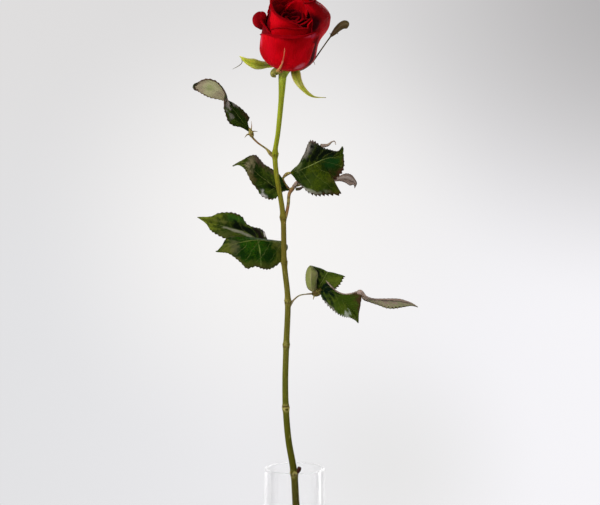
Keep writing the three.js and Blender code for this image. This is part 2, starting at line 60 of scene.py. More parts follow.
bpy.ops.object.camera_add(
    location=CAMERA["place"],
    rotation=(math.radians(90 - CAMERA["down"]), 0, 0),
)
camera = bpy.context.object
camera.data.lens = CAMERA["lens"]
camera.data.sensor_width = CAMERA["sensor"]
camera.data.clip_start = 0.05
camera.data.clip_end = 50
bpy.context.scene.camera = camera
bpy.context.scene.view_settings.view_transform = "Standard"

print("camera at", [round(x, 3) for x in camera.location])

# %% [markdown]
# ## Shader maths as Python
# A material is a graph of nodes. Writing `1 - mask` is easier to read than adding a Math
# node by hand, so a small class wraps a socket and lets Python's operators add the nodes.

# %% A value on its way through a material


class Value:
    """A socket that gives a number. Python's operators on it add Math nodes."""

    def __init__(self, finish, socket):
        self.finish = finish
        self.socket = socket

    def maths(self, operation, first, second):
        return self.finish.node("ShaderNodeMath", {"operation": operation}, {0: first, 1: second})

    def __abs__(self):
        return self.maths("ABSOLUTE", self, 0.0)


# Each operator is given in both orders, so that 1 - mask works as well as mask - 1.
OPERATORS = {
    "add": "ADD", "sub": "SUBTRACT", "mul": "MULTIPLY", "truediv": "DIVIDE", "pow": "POWER",
}
for word, sign in OPERATORS.items():
    setattr(Value, f"__{word}__", lambda self, other, how=sign: self.maths(how, self, other))
    setattr(Value, f"__r{word}__", lambda self, other, how=sign: self.maths(how, other, self))

# %% A material under construction


class Finish:
    """One material. Constants go straight on the shader's sockets, and node() adds the rest."""

    def __init__(self, name, **constants):
        self.material = bpy.data.materials.new(name)
        self.material.use_nodes = True
        self.tree = self.material.node_tree
        self.shader = self.tree.nodes["Principled BSDF"]
        for socket, value in constants.items():
            self.shader.inputs[socket.replace("_", " ")].default_value = value

    def node(self, kind, settings, inputs, output=0):
        """Adds a node of a kind: its settings first, then the values or links of its sockets."""
        made = self.tree.nodes.new(kind)
        for name, value in settings.items():
            if name == "stops":
                self.set_stops(made.color_ramp, value)
            else:
                setattr(made, name, value)
        for key, value in inputs.items():
            self.feed(made.inputs[key], value)
        return Value(self, made.outputs[output])

    def feed(self, socket, value):
        if isinstance(value, Value):
            self.tree.links.new(value.socket, socket)
        else:
            socket.default_value = value

    def set_stops(self, ramp, stops):
        for place, colour in stops[1:-1]:
            ramp.elements.new(place).color = (*colour, 1)
        for end in (0, -1):
            place, colour = stops[end]
            ramp.elements[end].position = place
            ramp.elements[end].color = (*colour, 1)

    def uv(self):
        """The two parts of the piece's own UV map."""
        place = self.node("ShaderNodeTexCoord", {}, {}, "UV")
        return [self.node("ShaderNodeSeparateXYZ", {}, {0: place}, part) for part in ("X", "Y")]

    def spot(self, stretch=(1, 1, 1)):
        """A place on the piece in metres, stretched."""
        place = self.node("ShaderNodeTexCoord", {}, {}, "Object")
        return self.node("ShaderNodeMapping", {}, {"Vector": place, "Scale": stretch})

    def vector(self, x, y, z=0.0):
        return self.node("ShaderNodeCombineXYZ", {}, {0: x, 1: y, 2: z})

    def speckle(self, place, scale, detail=3.0):
        """Soft noise from 0 to 1."""
        inputs = {"Vector": place, "Scale": scale, "Detail": detail}
        return self.node("ShaderNodeTexNoise", {}, inputs)

    def step(self, value, low, high, out_low=0.0, out_high=1.0):
        """A smooth change from one level to another while value goes from low to high."""
        inputs = {"Value": value, 1: low, 2: high, 3: out_low, 4: out_high}
        return self.node("ShaderNodeMapRange", {"interpolation_type": "SMOOTHSTEP"}, inputs)

    def wave(self, value):
        """A sine wave of a value in turns, from 0 to 1."""
        turned = self.node("ShaderNodeMath", {"operation": "SINE"}, {0: value * math.tau})
        return turned * 0.5 + 0.5

    def mixed(self, share, first, second):
        """Two colours in one: share 0 is the first."""
        colours = [(*c, 1) if isinstance(c, tuple) else c for c in (first, second)]
        inputs = {0: share, 6: colours[0], 7: colours[1]}
        return self.node("ShaderNodeMix", {"data_type": "RGBA"}, inputs, 2)

    def bump(self, height, depth):
        """Relief of a given depth in metres, where height goes from 0 to 1."""
        inputs = {"Height": height, "Strength": 1.0, "Distance": depth}
        self.feed(self.shader.inputs["Normal"], self.node("ShaderNodeBump", {}, inputs))

    def see_through(self, in_middle, at_edge):
        """How solid clear glass looks: more where it turns away from the eye."""
        facing = self.node("ShaderNodeLayerWeight", {}, {"Blend": 0.5}, "Facing")
        return self.step(facing, 0.3, 0.85, in_middle, at_edge)

    def colour(self, value):
        self.feed(self.shader.inputs["Base Color"], value)

    def roughness(self, value):
        self.feed(self.shader.inputs["Roughness"], value)


# %% [markdown]
# ## Working by hand, in code
# Every operator acts on whatever is selected, so the selection is cleared before a new
# primitive is added. Faces and edges are then chosen by where they are.

# %% Small habits


def start_fresh():
    if bpy.context.object and bpy.context.object.mode != "OBJECT":
        bpy.ops.object.mode_set(mode="OBJECT")
    bpy.ops.object.select_all(action="DESELECT")


def take(piece):
    """Makes a piece the only one that operators act on."""
    start_fresh()
    piece.select_set(True)
    bpy.context.view_layer.objects.active = piece


def choose(piece, wanted, kind="faces"):
    """In edit mode, selects only the faces, edges or vertices that wanted() says."""
    mesh = bmesh.from_edit_mesh(piece.data)
    bpy.ops.mesh.select_all(action="DESELECT")
    modes = [kind == k for k in ("verts", "edges", "faces")]
    bpy.context.tool_settings.mesh_select_mode = modes
    for part in getattr(mesh, kind):
        part.select_set(wanted(part))
    mesh.select_flush_mode()
    bmesh.update_edit_mesh(piece.data)


def modify(piece, kind, **settings):
    """Adds a modifier and applies it."""
    modifier = piece.modifiers.new(kind.title(), kind)
    for name, value in settings.items():
        setattr(modifier, name, value)
    take(piece)
    bpy.ops.object.modifier_apply(modifier=modifier.name)


def finished(piece, name, finishes, slot, *stands_for):
    """Names a piece, gives it its materials and sets it in the frame."""
    take(piece)
    bpy.ops.object.transform_apply(location=True, rotation=True, scale=True)
    bpy.ops.object.shade_smooth()
    piece.name = name
    for finish in finishes:
        piece.data.materials.append(finish.material)
    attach(piece, "root")
    if stands_for:
        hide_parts(*stands_for)
    print(f"{name}: {len(piece.data.vertices)} vertices")
    return piece


# %% [markdown]
# ## Floor, backdrop and light
# The object stands on a plain pale floor that fades into a pale backdrop all round, so no
# edge shows behind it from any side. Light and shade are painted into the backdrop's glow: it
# is lighter low down on the right and behind the leaves, as painted light, and darker in a
# soft painted shadow low down just right of the vase. It also has a soft grey patch high on
# the right. The light itself is that of a product shot: a wide soft box in front on the left,
# a tall strip at each side that draws the edges of the glass and the petals, and a weak sky.
# Gloss mirrors only the lamps and two pale cards behind the object. The room in front is
# dark to it, so that no veil lies over the dark leaves or the glass.

# %% Floor and backdrop
FLOOR = {"radius": 1.2, "fades": (0.25, 0.85)}
SKY_RADIUS = 9
# Soft patches on the backdrop: where they lie on a sphere of radius 1, how far they reach,
# their colour and their strength. The first is painted light behind the leaves, the second a
# soft grey patch high on the right, and the third a painted soft shadow low down right of the
# vase.
BACKDROP_LIGHT_AND_SHADE = [
    ((-0.015, 1.0, -0.04), 0.15, (0.94, 0.925, 0.91), 0.85),
    ((0.20, 0.97, 0.11), 0.205, (0.41, 0.40, 0.405), 0.9),
    ((0.050, 0.985, -0.180), 0.095, (0.77, 0.765, 0.755), 0.65),
]

start_fresh()
bpy.ops.mesh.primitive_circle_add(vertices=128, radius=FLOOR["radius"], fill_type="NGON")
floor = bpy.context.object
floor.name = "floor"
paper = Finish("pale_floor", Roughness=0.8, Specular_IOR_Level=0.1)
radius = paper.node("ShaderNodeVectorMath", {"operation": "LENGTH"}, {0: paper.spot()}, "Value")
paper.feed(paper.shader.inputs["Alpha"], paper.step(radius, *FLOOR["fades"], 1.0, 0.0))
grain = paper.speckle(paper.spot(), 60.0)
paper.colour(paper.mixed(grain, (0.80, 0.79, 0.79), (0.84, 0.83, 0.83)))
floor.data.materials.append(paper.material)

start_fresh()
bpy.ops.mesh.primitive_uv_sphere_add(radius=SKY_RADIUS, segments=96, ring_count=48)
dome = bpy.context.object
dome.name = "backdrop"
bpy.ops.object.shade_smooth()
sky = Finish(
    "pale_backdrop",
    Base_Color=(0, 0, 0, 1),
    Roughness=1.0,
    Specular_IOR_Level=0.0,
    Emission_Strength=1.0,
)
aim = sky.spot((1 / SKY_RADIUS, 1 / SKY_RADIUS, 1 / SKY_RADIUS))
across, _, up = [sky.node("ShaderNodeSeparateXYZ", {}, {0: aim}, axis) for axis in "XYZ"]
# Painted light: the glow is lighter low down on the right. High up it darkens a little to the
# right.
low = sky.mixed(sky.step(across, -0.22, 0.20), (0.755, 0.755, 0.77), (0.925, 0.915, 0.945))
high = sky.mixed(sky.step(across, -0.25, 0.25), (0.74, 0.73, 0.73), (0.70, 0.69, 0.695))
pale = sky.mixed(sky.step(up, -0.10, 0.09), low, high)
for place, reach, colour, strength in BACKDROP_LIGHT_AND_SHADE:
    away = sky.node("ShaderNodeVectorMath", {"operation": "DISTANCE"}, {0: aim, 1: place}, "Value")
    pale = sky.mixed(sky.step(away, 0.0, reach, strength, 0.0), pale, colour)
sky.feed(sky.shader.inputs["Emission Color"], pale)
dome.data.materials.append(sky.material)
dome.visible_diffuse = False
dome.visible_glossy = False
dome.visible_shadow = False


def bright_card(name, place, size, brightness):
    """An upright card that only gloss sees."""
    start_fresh()
    turn = math.atan2(-place[0], place[1])
    upright = (math.radians(90), 0, turn)
    bpy.ops.mesh.primitive_plane_add(size=1, location=place, rotation=upright)
    made = bpy.context.object
    made.name = name
    made.scale = (*size, 1)
    bpy.ops.object.transform_apply(location=False, rotation=False, scale=True)
    glow = Finish(
        name,
        Base_Color=(0, 0, 0, 1),
        Specular_IOR_Level=0.0,
        Roughness=1.0,
        Emission_Strength=brightness,
    )
    weave = glow.mixed(glow.speckle(glow.spot(), 2.0), (0.78, 0.77, 0.77), (0.86, 0.85, 0.86))
    glow.feed(glow.shader.inputs["Emission Color"], weave)
    made.data.materials.append(glow.material)
    made.visible_camera = False
    made.visible_diffuse = False
    made.visible_shadow = False
    made.visible_transmission = False
    return made


card = bright_card("pale_card", (0, 4, 0.6), (9, 5), 1.0)
edge_card = bright_card("edge_card", (0.98, 1.25, 0.30), (0.8, 1.6), 2.7)
print("staging:", floor.name, dome.name, card.name, edge_card.name)

# %% Lights
# Name, place, the point it faces, its width and height in metres, and its power in watts.
SOFT_BOXES = [
    ("front_left_box", (-1.0, -1.1, 1.1), (0, 0, 0.42), (0.8, 0.8), 27),
    ("front_right_box", (1.1, -1.3, 0.7), (0, 0, 0.42), (0.6, 0.9), 3.2),
    ("right_strip", (0.85, 0.1, 0.45), (0, 0, 0.40), (0.14, 1.1), 2.8),
    ("left_strip", (-0.85, 0.2, 0.50), (0, 0, 0.45), (0.14, 1.0), 3.4),
    ("back_box", (0.5, 1.5, 0.9), (0, 0, 0.42), (0.8, 0.8), 7),
]
ROOM = {"floor": (0.30, 0.30, 0.30, 1), "ceiling": (0.75, 0.76, 0.78, 1), "strength": 0.70}

for name, place, target, size, watts in SOFT_BOXES:
    start_fresh()
    bpy.ops.object.light_add(type="AREA", location=place)
    lamp = bpy.context.object
    lamp.name = name
    lamp.data.shape = "RECTANGLE"
    lamp.data.size, lamp.data.size_y = size
    lamp.data.energy = watts
    lamp.rotation_euler = (Vector(target) - Vector(place)).to_track_quat("-Z", "Y").to_euler()
    lamp.visible_camera = False
    lamp.visible_transmission = False

world = bpy.data.worlds.new("studio")
bpy.context.scene.world = world
world.use_nodes = True
world.cycles_visibility.glossy = False
room = world.node_tree
aim = room.nodes.new("ShaderNodeTexCoord")
split = room.nodes.new("ShaderNodeSeparateXYZ")
ramp = room.nodes.new("ShaderNodeValToRGB")
shift = room.nodes.new("ShaderNodeMapRange")
shift.inputs["From Min"].default_value = -1
room.links.new(aim.outputs["Generated"], split.inputs[0])
room.links.new(split.outputs["Z"], shift.inputs["Value"])
room.links.new(shift.outputs[0], ramp.inputs[0])
room.links.new(ramp.outputs[0], room.nodes["Background"].inputs["Color"])
ramp.color_ramp.elements[0].color = ROOM["floor"]
ramp.color_ramp.elements[1].color = ROOM["ceiling"]
room.nodes["Background"].inputs["Strength"].default_value = ROOM["strength"]

# %% [markdown]
# ## The vase
# A bud vase is a thick tube of clear glass, closed by a heavy floor and fire-polished at the
# lip, so that its rim is round. A lathe profile would do, but it can also be made as on the
# bench: a cylinder, its top inset by the wall, sunk to the floor, and each edge rounded.
# Before a lit sweep such glass almost vanishes, and only pale edges are left of it, so its
# shader is mostly see-through.

# %% The glass
VASE = {"radius": 24.0, "wall": 3.2, "height": 200.0, "floor": 10.0, "sides": 128}
ROUNDING = {"lip": 1.55, "heel": 1.5, "corner": 3.0, "segments": 7}
INNER = VASE["radius"] - VASE["wall"]

glass = Finish(
    "clear_glass",
    Base_Color=(0.985, 0.995, 0.99, 1),
    Transmission_Weight=1.0,
    IOR=1.5,
    Specular_IOR_Level=0.5,
)
glass.feed(glass.shader.inputs["Alpha"], glass.see_through(0.06, 0.36))
smears = glass.speckle(glass.spot((1, 1, 0.4)), 55.0, 4.0)
glass.roughness(glass.step(smears, 0.45, 0.8, 0.0, 0.012))
glass.bump(glass.speckle(glass.spot((1, 1, 0.25)), 30.0, 1.0), 0.00006)

# %% The vase's body


def cylinder(radius, foot, top):
    """An upright cylinder between two heights, in millimetres, left in edit mode."""
    start_fresh()
    bpy.ops.mesh.primitive_cylinder_add(
        vertices=VASE["sides"],
        radius=radius * MM,
        depth=(top - foot) * MM,
        location=(0, 0, (top + foot) / 2 * MM),
    )
    bpy.ops.object.transform_apply(location=True)
    bpy.ops.object.mode_set(mode="EDIT")
    return bpy.context.object


def is_top(face):
    return face.normal.z > 0.9


def round_edge(piece, height, rounding):
    """Bevels the edges that lie level at a height."""
    choose(piece, lambda edge: all(abs(v.co.z - height * MM) < 1e-6 for v in edge.verts), "edges")
    bpy.ops.mesh.bevel(offset=rounding * MM, segments=ROUNDING["segments"], affect="EDGES")


vase = cylinder(VASE["radius"], 0, VASE["height"])
choose(vase, is_top)
bpy.ops.mesh.inset(thickness=VASE["wall"] * MM)
bpy.ops.mesh.extrude_region_move(
    TRANSFORM_OT_translate={"value": (0, 0, (VASE["floor"] - VASE["height"]) * MM)}
)
round_edge(vase, VASE["height"], ROUNDING["lip"])
round_edge(vase, VASE["floor"], ROUNDING["corner"])
round_edge(vase, 0, ROUNDING["heel"])
bpy.ops.object.mode_set(mode="OBJECT")
finished(vase, "vase_glass", [glass], "glass", "vase")
vase.visible_shadow = False

# %% [markdown]
# ## The water
# Water wets the glass: it touches the wall and climbs it a little, in a curved edge. The
# piece reaches a tenth of a millimetre into the glass, because a gap of air between the two
# would shine like a mirror.

# %% Water
WATER = {"level": 122.0, "climb": 1.2, "into_glass": 0.1, "ring": 0.5}
DROPS = (0.55, 0.30, 0.15)  # the share of the climb that each ring inward drops by

clear_water = Finish(
    "clear_water",
    Base_Color=(0.97, 0.99, 0.98, 1),
    Transmission_Weight=1.0,
    IOR=1.333,
)
clear_water.feed(clear_water.shader.inputs["Alpha"], clear_water.see_through(0.25, 0.5))
ripple = clear_water.speckle(clear_water.spot(), 40.0, 2.0)
clear_water.roughness(clear_water.step(ripple, 0.5, 0.9, 0.0, 0.01))
clear_water.bump(ripple, 0.0001)

water_foot = VASE["floor"] - WATER["into_glass"]
water = cylinder(INNER + WATER["into_glass"], water_foot, WATER["level"] + WATER["climb"])
round_edge(water, water_foot, ROUNDING["corner"])
choose(water, is_top)
bpy.ops.mesh.inset(thickness=WATER["ring"] * MM)
for share in DROPS:
    bpy.ops.transform.translate(value=(0, 0, -share * WATER["climb"] * MM))
    bpy.ops.mesh.inset(thickness=WATER["ring"] * MM)
bpy.ops.object.mode_set(mode="OBJECT")
finished(water, "vase_water", [clear_water], "water", "water")
water.visible_shadow = False

# %% [markdown]
# ## The stem
# A rose stem tapers a little, bends at every node, and keeps a ring-shaped scar with a small
# dormant bud where a leaf was taken off. It is drawn out like a tube from a circle at the
# cut end: extrude upward, slide to the next centre, resize. The levels are closer together
# at the nodes, where the swelling needs them.

# %% A smooth curve through a few places


def mix(a, b, share):
    return a + (b - a) * share


def hill(x, reach):
    """A smooth hill: 1 where x is 0, and almost 0 at twice its reach."""
    return math.exp(-((x / reach) ** 2))


def on_curve(points, t):
    """The place at share t along a smooth curve through the points, each of any length."""
    points = np.asarray(points, float)
    place = min(max(t, 0.0), 1.0) * (len(points) - 1)
    i = min(len(points) - 2, int(place))
    w = place - i
    before = points[i - 1] if i else 2 * points[0] - points[1]
    after = points[i + 2] if i + 2 < len(points) else 2 * points[-1] - points[-2]
    a, b = points[i], points[i + 1]
    leave, arrive = (b - before) / 2, (after - a) / 2
    squared, cubed = 3 * (b - a) - 2 * leave - arrive, 2 * (a - b) + leave + arrive
    return a + leave * w + squared * w**2 + cubed * w**3


def way(points, t):
    """The direction of that curve at share t."""
    step = on_curve(points, t + 1e-3) - on_curve(points, t - 1e-3)
    return step / np.linalg.norm(step)


# %% The stem's line
# Each row is x, y, z and the radius there.
STEM = [
    (13.2, 3, 14, 3),
    (9.6, -3, 70, 3),
    (4.6, -9.2, 130, 2.9),
    (1, -14, 173.6, 2.8),
    (-0.6, -17.2, 200, 2.7),
    (-4.8, -20.4, 226, 2.5),
    (-6.8, -23, 251, 2.4),
    (-7.2, -25.5, 273.5, 2.3),
    (-6.4, -28, 301, 2.3),
    (-5.2, -31, 336, 2.2),
    (-7.9, -33, 365, 2.1),
    (-8.8, -35, 401, 2),
    (-13.6, -36.5, 431.5, 1.9),
    (-14.7, -37, 448, 1.9),
    (-12.5, -37.8, 463, 1.8),
    (-10, -38.5, 488, 2.1),
    (-9, -39, 506, 3.1),
]
# Swollen nodes: height, how far they stand out, how pale the scar there is, and how far
# above the node its dark line lies.
STEM_NODES = [
    (92, 0.7, 0.5, -1.2),
    (199, 0.6, 0.7, -1.2),
    (251.5, 0.55, 1.0, 1.5),
    (301, 0.5, 0.3, -1.2),
    (335, 0.5, 0.35, -1.2),
    (365, 0.5, 0.0, -1.2),
    (399, 0.7, 0.0, -1.2),
    (447, 0.8, 0.0, -1.2),
]
SWELLING = {"reach": 2.6, "lip": 0.18, "lip_above": 0.6, "lip_reach": 0.45}
CUT = {"tip": 10.4, "slant": 0.7}
TOP = 506.0
STEM_SIDES = 28
EVEN_LEVELS = 110
NODE_LEVELS = {"each_side": 9, "apart": 0.5}  # extra levels round each node
NEAREST = 0.2  # a level nearer than this to the one below it is left out


def stem_at(height):
    """The stem's centre and radius at a height, in millimetres."""
    low, high = 0.0, 1.0
    for _ in range(40):
        middle = (low + high) / 2
        low, high = (middle, high) if on_curve(STEM, middle)[2] < height else (low, middle)
    x, y, _, _ = on_curve(STEM, low)
    place = low * (len(STEM) - 1)
    before = min(len(STEM) - 2, int(place))
    radius = mix(STEM[before][3], STEM[before + 1][3], place - before)
    swelling = sum(bump * hill(height - z, SWELLING["reach"]) for z, bump, *_ in STEM_NODES)
    over = [height - z - SWELLING["lip_above"] for z, *_ in STEM_NODES]
    lip = sum(SWELLING["lip"] * hill(x, SWELLING["lip_reach"]) for x in over)
    return Vector((x, y, height)), radius + swelling + lip


STEM_START = CUT["tip"] + CUT["slant"] * STEM[0][3]
LEVELS = [STEM_START + i * (TOP - STEM_START) / EVEN_LEVELS for i in range(EVEN_LEVELS + 1)]
for node, *_ in STEM_NODES:
    reach = NODE_LEVELS["each_side"]
    LEVELS += [node + i * NODE_LEVELS["apart"] for i in range(-reach, reach + 1)]
LEVELS = sorted(LEVELS)
LEVELS = [z for i, z in enumerate(LEVELS) if i == 0 or z - LEVELS[i - 1] > NEAREST]
print("stem levels:", len(LEVELS))

# %% [markdown]
# ## The stem's finish
# The bark is brownish olive at the foot and yellow-green under the bloom. It has fine
# streaks along it, small pale freckles, and at each scar a mottled zone of yellow and brown
# with a dark line beside it.

# %% Bark
# Colours along the stem, at a share of its height.
STEM_TONES = [
    (0.00, (0.046, 0.038, 0.008)),
    (0.36, (0.046, 0.038, 0.006)),
    (0.40, (0.056, 0.050, 0.003)),
    (0.45, (0.066, 0.066, 0.003)),
    (0.53, (0.092, 0.094, 0.010)),
    (0.62, (0.120, 0.108, 0.015)),
    (0.77, (0.136, 0.104, 0.016)),
    (0.84, (0.160, 0.150, 0.012)),
    (0.90, (0.215, 0.240, 0.012)),
    (0.97, (0.250, 0.285, 0.018)),
    (1.00, (0.265, 0.310, 0.030)),
]
SCAR = {"zone": 0.0046, "line": 0.0013, "waver": 0.0016}  # in metres

bark = Finish(
    "stem_skin", Specular_IOR_Level=0.03, Subsurface_Weight=0.05, Subsurface_Scale=0.0015
)
spot = bark.node("ShaderNodeTexCoord", {}, {}, "Object")
height = bark.node("ShaderNodeSeparateXYZ", {}, {0: spot}, "Z")
along = bark.node("ShaderNodeValToRGB", {"stops": STEM_TONES}, {0: height / (TOP * MM)})
streaks = bark.speckle(bark.spot((1, 1, 0.04)), 900.0, 3.0)
freckles = bark.speckle(bark.spot((1, 1, 0.5)), 420.0, 4.0)
mottle = bark.speckle(bark.spot((1, 1, 0.8)), 560.0, 3.0)
skin = bark.mixed(bark.step(streaks, 0.35, 0.7, 0.0, 0.45), along, (0.035, 0.038, 0.004))
skin = bark.mixed(bark.step(freckles, 0.60, 0.72, 0.0, 0.45), skin, (0.27, 0.23, 0.07))
for level, _, paleness, line_at in STEM_NODES:
    zone = bark.step(abs(height - level * MM), 0.0, SCAR["zone"], 1.0, 0.0)
    wavering = height + (mottle - 0.5) * SCAR["waver"]
    line = bark.step(abs(wavering - (level + line_at) * MM), 0.0, SCAR["line"], 1.0, 0.0)
    yellow = zone * bark.step(mottle, 0.42, 0.56, 0.0, paleness)
    skin = bark.mixed(yellow, skin, (0.34, 0.29, 0.085))
    brown = zone * bark.step(mottle, 0.36, 0.48, 0.5, 0.0)
    skin = bark.mixed(brown, skin, (0.045, 0.026, 0.006))
    skin = bark.mixed(line * (0.35 + 0.5 * paleness), skin, (0.045, 0.024, 0.006))
bark.colour(skin)
bark.roughness(bark.step(streaks, 0.2, 0.8, 0.42, 0.60))
bark.bump(streaks + freckles * 0.5, 0.00012)

# %% Drawing the stem out


def drawn_out(stations, sides):
    """A tube drawn out from a circle, station by station: a centre and a radius at each."""
    start_fresh()
    centre, radius = stations[0]
    bpy.ops.mesh.primitive_circle_add(
        vertices=sides, radius=radius * MM, fill_type="NGON", location=centre * MM
    )
    piece = bpy.context.object
    bpy.ops.object.mode_set(mode="EDIT")
    for next_centre, next_radius in stations[1:]:
        slide = {"value": (next_centre - centre) * MM}
        bpy.ops.mesh.extrude_region_move(TRANSFORM_OT_translate=slide)
        grow = next_radius / radius
        bpy.ops.transform.resize(value=(grow, grow, 1), center_override=next_centre * MM)
        centre, radius = next_centre, next_radius
    bpy.ops.mesh.select_all(action="SELECT")
    bpy.ops.mesh.normals_make_consistent(inside=False)
    bpy.ops.object.mode_set(mode="OBJECT")
    return piece


stem = drawn_out([stem_at(level) for level in LEVELS], STEM_SIDES)
for vertex in stem.data.vertices:
    if (vertex.co.z + stem.location.z) / MM < STEM_START + 0.01:
        vertex.co.z += CUT["slant"] * vertex.co.x
finished(stem, "stem_tube", [bark], "stem", "stem")

# %% [markdown]
# ## Stalks
# Leaf stalks, buds and hair-like tips are thin round things that taper. A curve with a round
# bevel and a radius at each point is the plainest way, turned into a mesh when it is done.
# The stalks, leaflets and touches of colour below are measured things, so they are written
# as plain tables of numbers.

# %% Tables written as text
# Pigments used by name in the tables: a grey painted sheen where a blade turns to the light, a
# near-black painted shade for the sunken parts of folds, the real brown of a tired edge, a painted
# pink silky highlight for the petals, and white, which marks where the coat lies.
PIGMENTS = {
    "grey_wax": "0.22 0.19 0.165",
    "hollow": "0.003 0.006 0.002",
    "brown": "0.045 0.018 0.01",
    "silver_pink": "0.5 0.13 0.18",
    "white": "1 1 1",
}


def numbers(text):
    """Rows of numbers. A row ends at a comma or with its line. A pigment is three numbers."""
    for word, colour in PIGMENTS.items():
        text = text.replace(word, colour)
    rows = text.replace(",", "\n").splitlines()
    return [[float(number) for number in row.split()] for row in rows if row.strip()]


print("pigments:", ", ".join(PIGMENTS))

# %% The skins of stalks, buds and threads
# Each has a light and a dark green, a flush of another colour in patches, and the scale of
# the patches.
GREENS = {
    "stalk_skin": ((0.27, 0.215, 0.065), (0.12, 0.090, 0.024), (0.21, 0.105, 0.042), 350),
    "joint_skin": ((0.34, 0.29, 0.075), (0.060, 0.042, 0.010), (0.15, 0.095, 0.030), 1200),
    "knob_skin": ((0.17, 0.140, 0.030), (0.022, 0.018, 0.005), (0.065, 0.042, 0.012), 1300),
    "dull_stalk": ((0.23, 0.195, 0.095), (0.11, 0.085, 0.038), (0.17, 0.120, 0.065), 350),
    "bud_skin": ((0.050, 0.008, 0.008), (0.014, 0.003, 0.004), (0.040, 0.014, 0.008), 900),
    "dark_curl": ((0.035, 0.045, 0.012), (0.010, 0.012, 0.005), (0.05, 0.03, 0.02), 500),
    "grey_curl": ((0.20, 0.175, 0.135), (0.050, 0.042, 0.030), (0.24, 0.205, 0.17), 500),
    "pink_curl": ((0.28, 0.215, 0.165), (0.12, 0.085, 0.060), (0.30, 0.22, 0.18), 600),
    "leaf_rim": ((0.07, 0.035, 0.015), (0.025, 0.012, 0.006), (0.09, 0.03, 0.02), 350),
    "calyx_cup": ((0.24, 0.29, 0.030), (0.15, 0.19, 0.014), (0.20, 0.21, 0.035), 300),
    "thread_skin": ((0.48, 0.10, 0.045), (0.36, 0.05, 0.025), (0.52, 0.16, 0.09), 400),
    "sepal_thread": ((0.36, 0.30, 0.05), (0.24, 0.22, 0.03), (0.45, 0.16, 0.06), 400),
    "dry_skin": ((0.30, 0.29, 0.060), (0.080, 0.060, 0.016), (0.18, 0.165, 0.040), 900),
    "twig_skin": ((0.13, 0.110, 0.035), (0.035, 0.026, 0.012), (0.070, 0.050, 0.020), 500),
}
SKIN = {}
for name, (light, dark, flush, scale) in GREENS.items():
    finish = Finish(
        name, Specular_IOR_Level=0.05, Subsurface_Weight=0.06, Subsurface_Scale=0.001
    )
    patches = finish.speckle(finish.spot(), scale, 3.0)
    clouds = finish.speckle(finish.spot(), scale / 3, 2.0)
    tint = finish.mixed(finish.step(patches, 0.36, 0.64), dark, light)
    finish.colour(finish.mixed(finish.step(clouds, 0.42, 0.62), tint, flush))
    finish.roughness(finish.step(patches, 0.2, 0.8, 0.42, 0.60))
    finish.bump(patches, 0.00015)
    SKIN[name] = finish
print("skins:", len(SKIN))

# %% A tapering stalk
STALK = {"between_beads": 6, "thinnest": 0.02}


def stalk(name, skin, slot, beads, resolution=4):
    """A round stalk through beads. A bead is x, y, z and the radius there, in millimetres."""
    beads = np.array(numbers(beads) if isinstance(beads, str) else beads)
    start_fresh()
    bpy.ops.curve.primitive_bezier_curve_add()
    curve = bpy.context.object.data
    curve.splines.clear()
    line = curve.splines.new("POLY")
    count = STALK["between_beads"] * (len(beads) - 1)
    line.points.add(count)
    for i, point in enumerate(line.points):
        bead = on_curve(beads, i / count)
        point.co = (*(bead[:3] * MM), 1)
        point.radius = max(STALK["thinnest"], float(bead[3]))
    curve.dimensions = "3D"
    curve.bevel_depth = MM
    curve.bevel_resolution = resolution
    curve.use_fill_caps = True
    bpy.ops.object.convert(target="MESH")
    return finished(bpy.context.object, name, [skin], slot)


def stalks(slot, table):
    """Makes the stalks of a table: a name, a skin and the beads of each."""
    for name, (skin, beads) in table.items():
        stalk(name, SKIN[skin], slot, beads)


stalks("stem", {
    "side_bud": ("bud_skin",
        "-0.2 -17.6 198.6 0.8, 1.6 -18 199.8 1.3, 3.1 -18.2 201.8 1.6, 3.7 -18.2 204 1.5, "
        "3.9 -18.2 204.6 0.5"),
})

# %% [markdown]
# ## Leaflets
# A rose leaflet is a thin oval blade with a saw-toothed edge, a midrib, and side veins that
# run to the teeth, with the blade quilted between them. These leaflets are a few days old,
# so they twist, fold and curl. An edit-mode operator can't follow a twisted blade, so each
# one starts as a grid that is laid between three curves: its left margin, its midrib and
# its right margin, seen from above with the stalk at the bottom. A row of a table is one
# place on each of them. Between the curves the blade is cupped, quilted and crumpled by a
# formula. Solidify then gives the sheet its thickness, with one material on the upper face,
# one below and one on the cut edge. It counts the materials that the piece already has, so
# they are given first.

# %% A leaflet's blade
LEAF = {"thickness": 0.42, "columns": 10, "veins": 7, "slope": 1.9, "quilt": 0.26}
CREASE = {"depth": 0.14, "width": 0.15}  # along the midrib
NARROW = 8  # below this reach, in millimetres, relief and teeth fade
TOOTH_STEPS = (0.0, 0.35, 0.7, 0.86)  # a tooth rises slowly to its tip and drops fast
TOOTH = {"rise": 0.7, "drop": 0.3, "deepest": 0.4}  # the last is a share of the reach
CRUMPLE = {"scale": 0.12, "seed": 0.37}


